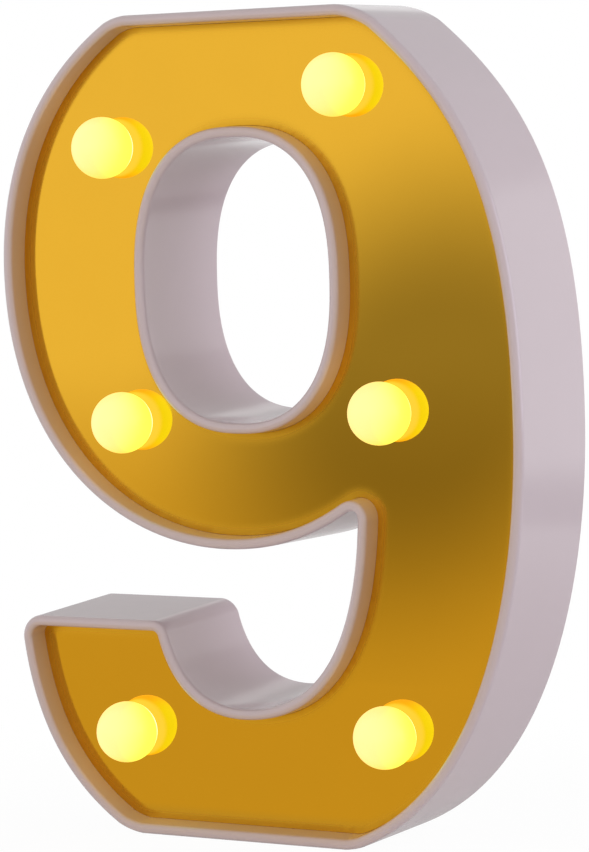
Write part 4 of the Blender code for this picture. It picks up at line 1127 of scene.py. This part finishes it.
class MARQUEE_OT_cover(bpy.types.Operator):
    """Mould the back cover: plate, holes, keyholes, switch pocket and battery box"""
    bl_idname = "marquee.cover"
    bl_label = "Back cover"

    def execute(self, context):
        sizes = context.scene.marquee_shell
        cover = context.scene.marquee_cover
        gap = sizes.clearance
        back = BODY_DEPTH
        front = back - cover.thickness
        inset = sizes.lip_wall + gap
        rings = rounded(inset, back, 1, -1, cover.edge_round) + [(inset, front)]
        build = bmesh.new()
        back_loops, front_loops, floor_loops = [], [], []
        for outline in (number_outline(), counter_outline()):
            sweep(build, outline, rings, back_loops, front_loops)

        # sunk screw holes and keyholes
        step = cover.screw_seat - cover.screw_hole
        seat = back - cover.seat_depth
        mouth = rounded(0, back, 1, -1, cover.hole_round)
        for node in SCREW_NODES:
            sweep(build, circle_outline(plan(node), cover.screw_seat),
                  mouth + [(0, seat), (-step, seat), (-step, front)], back_loops, front_loops)
        for side in (-1, 1):
            sweep(build, keyhole_outline(side * cover.keyhole_spacing / 2),
                  mouth + [(0, front)], back_loops, front_loops)

        # switch pocket with its window
        width, height, depth = SWITCH_POCKET
        floor = back - depth
        reach = Vector((width, height)) / 2
        pocket = box_outline(SWITCH_CENTRE - reach, SWITCH_CENTRE + reach, POCKET_CORNER)
        sweep(build, pocket, mouth + [(0, floor)], back_loops, floor_loops)
        reach = Vector(SWITCH_WINDOW) / 2
        window = box_outline(SWITCH_CENTRE - reach, SWITCH_CENTRE + reach, WINDOW_CORNER)
        sweep(build, window, [(0, floor), (0, front)], floor_loops, front_loops)

        # door seat, pocket for the cells and the outside of the battery box
        seat_low = Vector((DOOR_LOW.x - gap, DOOR_BASE_Z - gap))
        seat_high = Vector((DOOR_HIGH.x + gap, DOOR_HIGH.z + gap))
        seat_depth = back - DOOR_THICKNESS - gap
        ledge = DOOR_LEDGE + gap
        sweep(build, box_outline(seat_low, seat_high, DOOR_CORNER),
              mouth + [(0, seat_depth), (-ledge, seat_depth),
                       (-ledge, CELL_LOW.y - FRONT_Y - gap)], back_loops)
        wall = Vector((BOX_WALL, BOX_WALL))
        sweep(build, box_outline(seat_low - wall, seat_high + wall, BOX_CORNER, into=-1),
              [(0, front), (0, BOX_FRONT)], front_loops)
        for loops in (floor_loops, back_loops, front_loops):
            fill(build, *loops)
        plate = to_piece("rear_cover", build, [grained_white_abs()])

        # slots for the door's tongues and the contact tabs, and the fingertip notch
        slots = []
        half = TONGUE_WIDTH / 2 + gap
        for middle in TONGUE_MIDDLES:
            slots.append(((middle - half, y_at(front) - TONGUE_SWING, DOOR_LOW.z - gap),
                          (middle + half, y_at(front), DOOR_BASE_Z + ledge)))
        for node in ("positive_contact", "negative_contact"):
            low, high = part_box(node)
            x, y = (low + high).xy / 2
            slots.append(((x - TAB_HALF_WIDTH, y - TAB_HALF_DEPTH, low.z),
                          (x + TAB_HALF_WIDTH, y + TAB_HALF_DEPTH, high.z)))
        combine(plate, blocks("slots", slots), 'DIFFERENCE')
        notch = turned([(0, NOTCH_DEPTH, 0), (NOTCH_RADIUS, NOTCH_DEPTH, 0),
                        (NOTCH_RADIUS, 0, 0), (NOTCH_RADIUS, NOTCH_CHAMFER - NOTCH_DEPTH, 0),
                        (NOTCH_RADIUS - NOTCH_CHAMFER, -NOTCH_DEPTH, 0), (0, -NOTCH_DEPTH, 0)],
                       HOLE_STEPS)
        notch.data.transform(Matrix.Translation((DOOR_MIDDLE_X, y_at(back), DOOR_HIGH.z))
                             @ Matrix.Rotation(-math.pi / 2, 4, 'X'))
        combine(plate, notch, 'DIFFERENCE')
        finished(plate, "housing", "shell", "back_cover")
        return {'FINISHED'}


class MARQUEE_OT_screws(bpy.types.Operator):
    """Turn one cross head screw and repeat it at every boss"""
    bl_idname = "marquee.screws"
    bl_label = "Cover screws"

    def execute(self, context):
        screw = context.scene.marquee_screw
        top = screw.head_height
        shank = SCREW_HIGH.y - SCREW_LOW.y - top
        dome = screw.head_radius * DOME_SHARE
        dome_angle = math.asin(screw.head_radius * DOME_REACH_SHARE / dome)
        profile = arc(dome, 0, dome_angle, HEAD_STEPS, (0, top - dome))
        profile += [(screw.head_radius, profile[-1][1] - HEAD_EDGE, 0),
                    (screw.head_radius, 0, 0), (screw.radius, 0, 0)]
        root = screw.radius * THREAD_ROOT_SHARE
        for index in range(math.floor((shank - PLAIN_END) / THREAD_PITCH)):
            height = -THREAD_START - index * THREAD_PITCH
            profile += [(root, height, 0),
                        (screw.radius, height - THREAD_PITCH * THREAD_CREST_SHARE, 0),
                        (root, height - THREAD_PITCH * THREAD_END_SHARE, 0)]
        profile += [(screw.radius * TIP_SHARE, TIP_LENGTH - shank, 0), (0, -shank, 0)]
        template = turned(profile, SCREW_TURN_STEPS)
        reach, half = screw.cross_reach, screw.cross_width / 2
        base = top * (1 - CROSS_DEPTH_SHARE)
        for x, y in ((reach, half), (half, reach)):
            combine(template, blocks("cross", [((-x, -y, base), (x, y, 2 * top))]), 'DIFFERENCE')
        screws = repeated("cover_screws", "screws_on_bosses", template, SCREW_NODES,
                          SCREW_HIGH.y - top, {"Finish": zinc_plated_steel(),
                                               "Facing": FACING_BACK, "Turn": math.pi / 2,
                                               "Seed": screw.seed})
        finished(screws, "housing", "steel", *SCREW_NODES)
        return {'FINISHED'}


class MARQUEE_OT_door(bpy.types.Operator):
    """Mould the battery door with its latch finger, grip lines and tongues"""
    bl_idname = "marquee.door"
    bl_label = "Battery door"

    def execute(self, context):
        back = DOOR_HIGH.y - FRONT_Y
        front = back - DOOR_THICKNESS
        x = DOOR_MIDDLE_X
        top = DOOR_HIGH.z
        slit_base = top - LATCH_LENGTH
        inner = LATCH_WIDTH / 2
        outer = inner + LATCH_SLIT
        places = [(DOOR_LOW.x, DOOR_BASE_Z), (DOOR_LOW.x, top)]
        for near, far in ((x - outer, x - inner), (x + inner, x + outer)):
            places += [(near, top), (near, slit_base), (far, slit_base), (far, top)]
        places += [(DOOR_HIGH.x, top), (DOOR_HIGH.x, DOOR_BASE_Z)]
        corners = []
        for place in places:
            at_side = place[0] in (DOOR_LOW.x, DOOR_HIGH.x)
            corners.append((Vector(place), DOOR_CORNER if at_side else LATCH_CORNER))
        build = bmesh.new()
        sweep(build, cornered_outline(corners, -1),
              rounded(0, back, 1, -1, DOOR_EDGE) + rounded(0, front, 1, 1, DOOR_EDGE)[::-1])
        door = to_piece("cell_door", build, [grained_white_abs()])

        # tongues that hook under the plate
        tongue_top = y_at(BODY_DEPTH - context.scene.marquee_cover.thickness
                          - context.scene.marquee_shell.clearance)
        half = TONGUE_WIDTH / 2
        for middle in TONGUE_MIDDLES:
            for low_z, high_y, high_z in (
                    (DOOR_BASE_Z, y_at(front) + 2 * DOOR_EDGE, DOOR_BASE_Z + DOOR_LEDGE),
                    (DOOR_LOW.z, tongue_top, DOOR_BASE_Z + DOOR_LEDGE / 2)):
                span = ((middle - half, DOOR_LOW.y, low_z), (middle + half, high_y, high_z))
                combine(door, blocks("tongue", [span]), 'UNION')

        # grip lines across the latch finger
        grip = inner - 2 * LATCH_GRIP
        lines = []
        for index in range(1, LATCH_GRIP_LINES + 1):
            height = top - LATCH_LENGTH * index / (LATCH_GRIP_LINES + 1)
            lines.append(((x - grip, y_at(back) - LATCH_GRIP, height - LATCH_GRIP / 2),
                          (x + grip, y_at(back) + LATCH_GRIP, height + LATCH_GRIP / 2)))
        combine(door, blocks("lines", lines), 'DIFFERENCE')
        finished(door, "battery_door", "shell", "battery_door")
        return {'FINISHED'}


class MARQUEE_OT_switch(bpy.types.Operator):
    """Mould the switch knob with its grip ridges, and finish the switch body"""
    bl_idname = "marquee.switch"
    bl_label = "Slide switch"

    def execute(self, context):
        nylon = black_nylon()
        centre = (KNOB_LOW + KNOB_HIGH) / 2
        slider = blocks("switch_knob", [(KNOB_LOW, (
            KNOB_HIGH.x, KNOB_LOW.y + SLIDER_THICKNESS, KNOB_HIGH.z))], SLIDER_BEVEL)
        knob = blocks("knob", [(
            (centre.x - KNOB_HALF_LENGTH, KNOB_LOW.y + SLIDER_THICKNESS / 2,
             centre.z - KNOB_HALF_HEIGHT),
            (centre.x + KNOB_HALF_LENGTH, KNOB_HIGH.y, centre.z + KNOB_HALF_HEIGHT))],
            KNOB_BEVEL)
        combine(slider, knob, 'UNION')
        grooves = []
        for index in (-1, 0, 1):
            middle = centre.x + index * GROOVE_PITCH
            grooves.append(((middle - GROOVE_HALF_WIDTH, KNOB_HIGH.y - GROOVE_DEPTH, KNOB_LOW.z),
                            (middle + GROOVE_HALF_WIDTH, KNOB_HIGH.y + OVERCUT, KNOB_HIGH.z)))
        combine(slider, blocks("grooves", grooves), 'DIFFERENCE')
        coat(slider, nylon)
        coat(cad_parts["switch_body"], nylon)
        finished(slider, "switch_slider", "switch", "switch_slider")
        return {'FINISHED'}


class MARQUEE_OT_power(bpy.types.Operator):
    """Make the cells and their springs, and finish the contacts, diodes and leads"""
    bl_idname = "marquee.power"
    bl_label = "Cells and wiring"

    def execute(self, context):
        nickel = nickel_plated_steel()
        self.make_cells([nickel, cell_sleeve(), cell_band()])
        wire = wire_tree("spring_wire")
        self.make_spring(context.scene.marquee_power, wire, nickel, "contact_spring_lower", 1)
        self.make_spring(context.scene.marquee_power, wire, nickel, "contact_spring_upper", -1)
        groups = (
            (nickel, ("positive_contact", "negative_contact", "bridge_contact")),
            (clear_epoxy(), [f"led_{number}" for number in range(1, 7)]),
            (lead_insulation(), [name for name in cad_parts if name.startswith("lead_")]),
        )
        for material, names in groups:
            for name in names:
                coat(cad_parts[name], material)
        return {'FINISHED'}

    def make_cells(self, finishes):
        """Two cells, each a turned can with its nub, its sleeve and its band."""
        radius = (CELL_HIGH.x - CELL_LOW.x) / 2
        total = CELL_HIGH.z - CELL_LOW.z
        top = total - NUB_HEIGHT
        side = radius - CURL
        profile = [(0, total, 0), (NUB_RADIUS - NUB_CHAMFER, total, 0),
                   (NUB_RADIUS, total - NUB_CHAMFER, 0), (NUB_RADIUS, top - TOP_SINK, 0),
                   (radius - CURL_REACH - TOP_STEP, top - TOP_SINK, 0),
                   (radius - CURL_REACH, top, 1)]
        profile += arc(CURL, 0, math.pi / 2, CURL_STEPS, (side, top - CURL), 1)[1:]
        profile += [(radius, top - BAND_START, 1), (radius, top - BAND_END, 2),
                    (radius, top - BAND_END - BAND_FADE, 1)]
        profile += arc(CURL, math.pi / 2, math.pi, CURL_STEPS, (side, CURL), 1)
        profile += [(radius - CURL_REACH, 0, 1),
                    (radius - CURL_REACH - BASE_STEP, BASE_SINK, 0), (0, BASE_SINK, 0)]
        for name, node, turn in (("left_cell", "battery_cell_left", math.pi),
                                 ("right_cell", "battery_cell_right", 0)):
            cell = turned(profile, CELL_TURN_STEPS, finishes, name)
            low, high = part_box(node)
            x, y = (low + high).xy / 2
            cell.data.transform(Matrix.Translation((x, y, high.z if turn else low.z))
                                @ Matrix.Rotation(turn, 4, 'X'))
            finished(cell, "housing", "cell", node)

    def make_spring(self, power, wire, nickel, node, direction):
        """A contact spring: a straight foot, the turns and a straight end."""
        low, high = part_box(node)
        x = (low.x + high.x) / 2
        start = low.z if direction > 0 else high.z
        height = high.z - low.z
        foot = 2 * power.wire_radius
        radius = power.spring_radius
        count = round(power.spring_turns * SPRING_TURN_POINTS)
        places = [(radius, 0, 0)]
        for step in range(count + 1):
            angle = 2 * math.pi * step / SPRING_TURN_POINTS
            places.append((radius * math.cos(angle), radius * math.sin(angle),
                           foot + (height - 2 * foot) * step / count))
        places.append((*places[-1][:2], height))
        points = [(x + a, CELL_MIDDLE_Y + b, start + direction * c) for a, b, c in places]
        edges = [(index, index + 1) for index in range(len(points) - 1)]
        spring = run_tree(node.replace("contact_spring", "cell_spring"), points, edges, wire, {
            "Radius": power.wire_radius, "Sides": WIRE_SIDES, "Finish": nickel})
        finished(spring, "housing", "steel", node)


class MARQUEE_OT_stage(bpy.types.Operator):
    """Lay the pale floor, hang the soft lights and set the camera"""
    bl_idname = "marquee.stage"
    bl_label = "Stage"

    def execute(self, context):
        stage = context.scene.marquee_stage
        scene = context.scene
        scene.view_settings.view_transform = 'Standard'
        self.make_world(scene, stage)
        self.make_floor(stage)
        for values in FLAGS:
            self.make_flag(*values)
        powers = (stage.side_power, stage.front_power, stage.back_power)
        for values, power in zip(LIGHTS, powers):
            self.make_light(*values, power)
        camera = bpy.data.cameras.new("camera")
        camera.sensor_fit = 'VERTICAL'
        camera.sensor_height = SENSOR_HEIGHT
        camera.lens = stage.lens
        item = add_object("camera", camera)
        item.matrix_world = (
            Matrix.Translation(stage.place) @ Matrix.Rotation(stage.yaw, 4, 'Z')
            @ Matrix.Rotation(math.pi / 2 - stage.pitch, 4, 'X')
            @ Matrix.Rotation(stage.roll, 4, 'Z'))
        scene.camera = item
        return {'FINISHED'}

    def make_light(self, name, place, tint, in_gloss, power):
        """A round soft light that looks at the middle of the object."""
        light = bpy.data.lights.new(name, 'AREA')
        light.shape = 'DISK'
        light.size = LIGHT_SIZE
        light.energy = power
        light.color = linear(tint)
        item = add_object(name, light)
        item.location = place
        direction = Vector((0, 0, (SHELL_LOW.z + SHELL_HIGH.z) / 2)) - Vector(place)
        item.rotation_euler = direction.to_track_quat('-Z', 'Y').to_euler()
        item.visible_glossy = in_gloss

    def make_world(self, scene, stage):
        """A white surround for the eye and for reflections, and a plain soft light from it."""
        world = bpy.data.worlds.new("studio")
        world.use_nodes = True
        scene.world = world
        tree = world.node_tree
        tree.nodes.clear()
        ways = add_node(tree, "ShaderNodeTexCoord", output="Generated")
        up = add_node(tree, "ShaderNodeSeparateXYZ", {"Vector": ways}, output="Z")
        strength = add_node(tree, "ShaderNodeMapRange", {
            "From Min": SKY_FADE[0], "From Max": SKY_FADE[1], "To Min": stage.soft_light,
            "To Max": SKY_TOP_SHARE * stage.soft_light, "Value": up}, SMOOTH)
        soft = add_node(tree, "ShaderNodeBackground", {"Color": WHITE, "Strength": strength})
        white = add_node(tree, "ShaderNodeBackground", {"Color": WHITE, "Strength": 1.0})
        path = add_node(tree, "ShaderNodeLightPath").node.outputs
        seen = path["Is Camera Ray"]
        for ray in ("Is Glossy Ray", "Is Transmission Ray"):
            seen = add_node(tree, "ShaderNodeMath", {0: seen, 1: path[ray]}, LARGER)
        mixed = add_node(tree, "ShaderNodeMixShader", {0: seen, 1: soft, 2: white})
        add_node(tree, "ShaderNodeOutputWorld", {"Surface": mixed})

    def make_floor(self, stage):
        """A matt pale sheet, white to the eye but for the object's contact shadow. Gloss sees a
        painted warm light on it in front of the lit face and a painted shade behind the object."""
        finish = new_finish("matt_white_paper")
        tree = finish.tree
        texture(finish, stage.floor, 0.985, Noise(1.5 * mm, 3.0))
        set_inputs(finish.shader, {"Roughness": 0.9})
        half = stage.floor_size / 2
        floor = sheet("floor", [(x * half, y * half, 0) for x, y in SQUARE], finish.material)
        floor.location.z = -FLOOR_DROP
        distance = add_node(tree, "ShaderNodeVectorMath", {
            0: finish.coordinates}, {"operation": 'LENGTH'})
        depth = add_node(tree, "ShaderNodeSeparateXYZ", {"Vector": finish.coordinates}, output="Y")
        near, far, behind, past_shade = (
            add_node(tree, "ShaderNodeMapRange", {
                "From Min": start, "From Max": end, "To Min": least, "Value": source}, SMOOTH)
            for source, (start, end), least in (
                (distance, NEAR_WHITE, stage.floor_white), (distance, FAR_WHITE, 0),
                (depth, BEHIND, 0), (distance, SHADE_END, 0)))
        path = add_node(tree, "ShaderNodeLightPath").node.outputs
        glossy = path["Is Glossy Ray"]
        direct = add_node(tree, "ShaderNodeMath", {0: near, 1: path["Is Camera Ray"]}, PRODUCT)
        share = add_node(tree, "ShaderNodeMath", {0: direct, 1: glossy}, LARGER)
        back = add_node(tree, "ShaderNodeMath", {0: behind, 1: past_shade}, PRODUCT)
        away = add_node(tree, "ShaderNodeMath", {0: far, 1: back}, LARGER)
        # painted warm glow in front of the lit face, painted shade behind the object
        close = add_node(tree, "ShaderNodeMix", {
            "A": (*stage.floor_glow, 1), "B": (*stage.floor_shade, 1), "Factor": behind}, RGBA)
        mirrored = add_node(tree, "ShaderNodeMix", {"A": close, "B": WHITE, "Factor": away}, RGBA)
        seen = add_node(tree, "ShaderNodeMix", {
            "A": WHITE, "B": mirrored, "Factor": glossy}, RGBA)
        glow = add_node(tree, "ShaderNodeEmission", {"Color": seen, "Strength": 1.0})
        mixed = add_node(tree, "ShaderNodeMixShader", {
            0: share, 1: finish.shader.outputs[0], 2: glow})
        set_inputs(tree.nodes["Material Output"], {"Surface": mixed})

    def make_flag(self, name, place, reach, turn, strength, core):
        """A black card with soft edges that only the mirror face and other gloss can see."""
        finish = new_finish("soft_edged_black_card")
        tree = finish.tree
        width, height = reach
        flag = sheet(name, [(x * width, 0, z * height) for x, z in SQUARE], finish.material)
        flag.location = place
        flag.rotation_euler.y = -turn
        for kind in ("camera", "diffuse", "transmission", "volume_scatter", "shadow"):
            setattr(flag, f"visible_{kind}", False)
        scaled = add_node(tree, "ShaderNodeVectorMath", {
            0: finish.coordinates, 1: (1 / width, 0, 1 / height)}, PRODUCT)
        radius = add_node(tree, "ShaderNodeVectorMath", {0: scaled}, {"operation": 'LENGTH'})
        dark = add_node(tree, "ShaderNodeMapRange", {
            "From Min": 1.0, "From Max": core, "To Max": strength, "Value": radius}, SMOOTH)
        clear = add_node(tree, "ShaderNodeBsdfTransparent")
        black = add_node(tree, "ShaderNodeEmission", {"Color": WHITE, "Strength": CARD_GLOW})
        mixed = add_node(tree, "ShaderNodeMixShader", {0: dark, 1: clear, 2: black})
        set_inputs(tree.nodes["Material Output"], {"Surface": mixed})


STEPS = (
    MARQUEE_OT_stage,
    MARQUEE_OT_shell,
    MARQUEE_OT_face,
    MARQUEE_OT_bulbs,
    MARQUEE_OT_cover,
    MARQUEE_OT_screws,
    MARQUEE_OT_door,
    MARQUEE_OT_switch,
    MARQUEE_OT_power,
)
SETTINGS = {
    "marquee_shell": ShellSettings,
    "marquee_face": FaceSettings,
    "marquee_bulb": BulbSettings,
    "marquee_cover": CoverSettings,
    "marquee_screw": ScrewSettings,
    "marquee_power": PowerSettings,
    "marquee_stage": StageSettings,
}


class MARQUEE_PT_panel(bpy.types.Panel):
    """A button for each step, and the settings of each piece"""
    bl_idname = "MARQUEE_PT_panel"
    bl_label = "Marquee number"
    bl_space_type = 'VIEW_3D'
    bl_region_type = 'UI'
    bl_category = "Marquee"

    def draw(self, context):
        layout = self.layout
        for step in STEPS:
            layout.operator(step.bl_idname)
        for name, group in SETTINGS.items():
            box = layout.box()
            box.label(text=name.removeprefix("marquee_").capitalize())
            for setting in group.__annotations__:
                box.prop(getattr(context.scene, name), setting)


def register():
    """Make the settings, the steps and the panel known to Blender."""
    for name, group in SETTINGS.items():
        bpy.utils.register_class(group)
        setattr(bpy.types.Scene, name, PointerProperty(type=group))
    for item in (*STEPS, MARQUEE_PT_panel):
        bpy.utils.register_class(item)


def unregister():
    """Take back what register made known."""
    for item in (MARQUEE_PT_panel, *reversed(STEPS)):
        bpy.utils.unregister_class(item)
    for name, group in reversed(SETTINGS.items()):
        delattr(bpy.types.Scene, name)
        bpy.utils.unregister_class(group)


def main():
    """Run every step in order."""
    register()
    for step in STEPS:
        category, name = step.bl_idname.split(".")
        getattr(getattr(bpy.ops, category), name)()


if __name__ == "__main__":
    main()
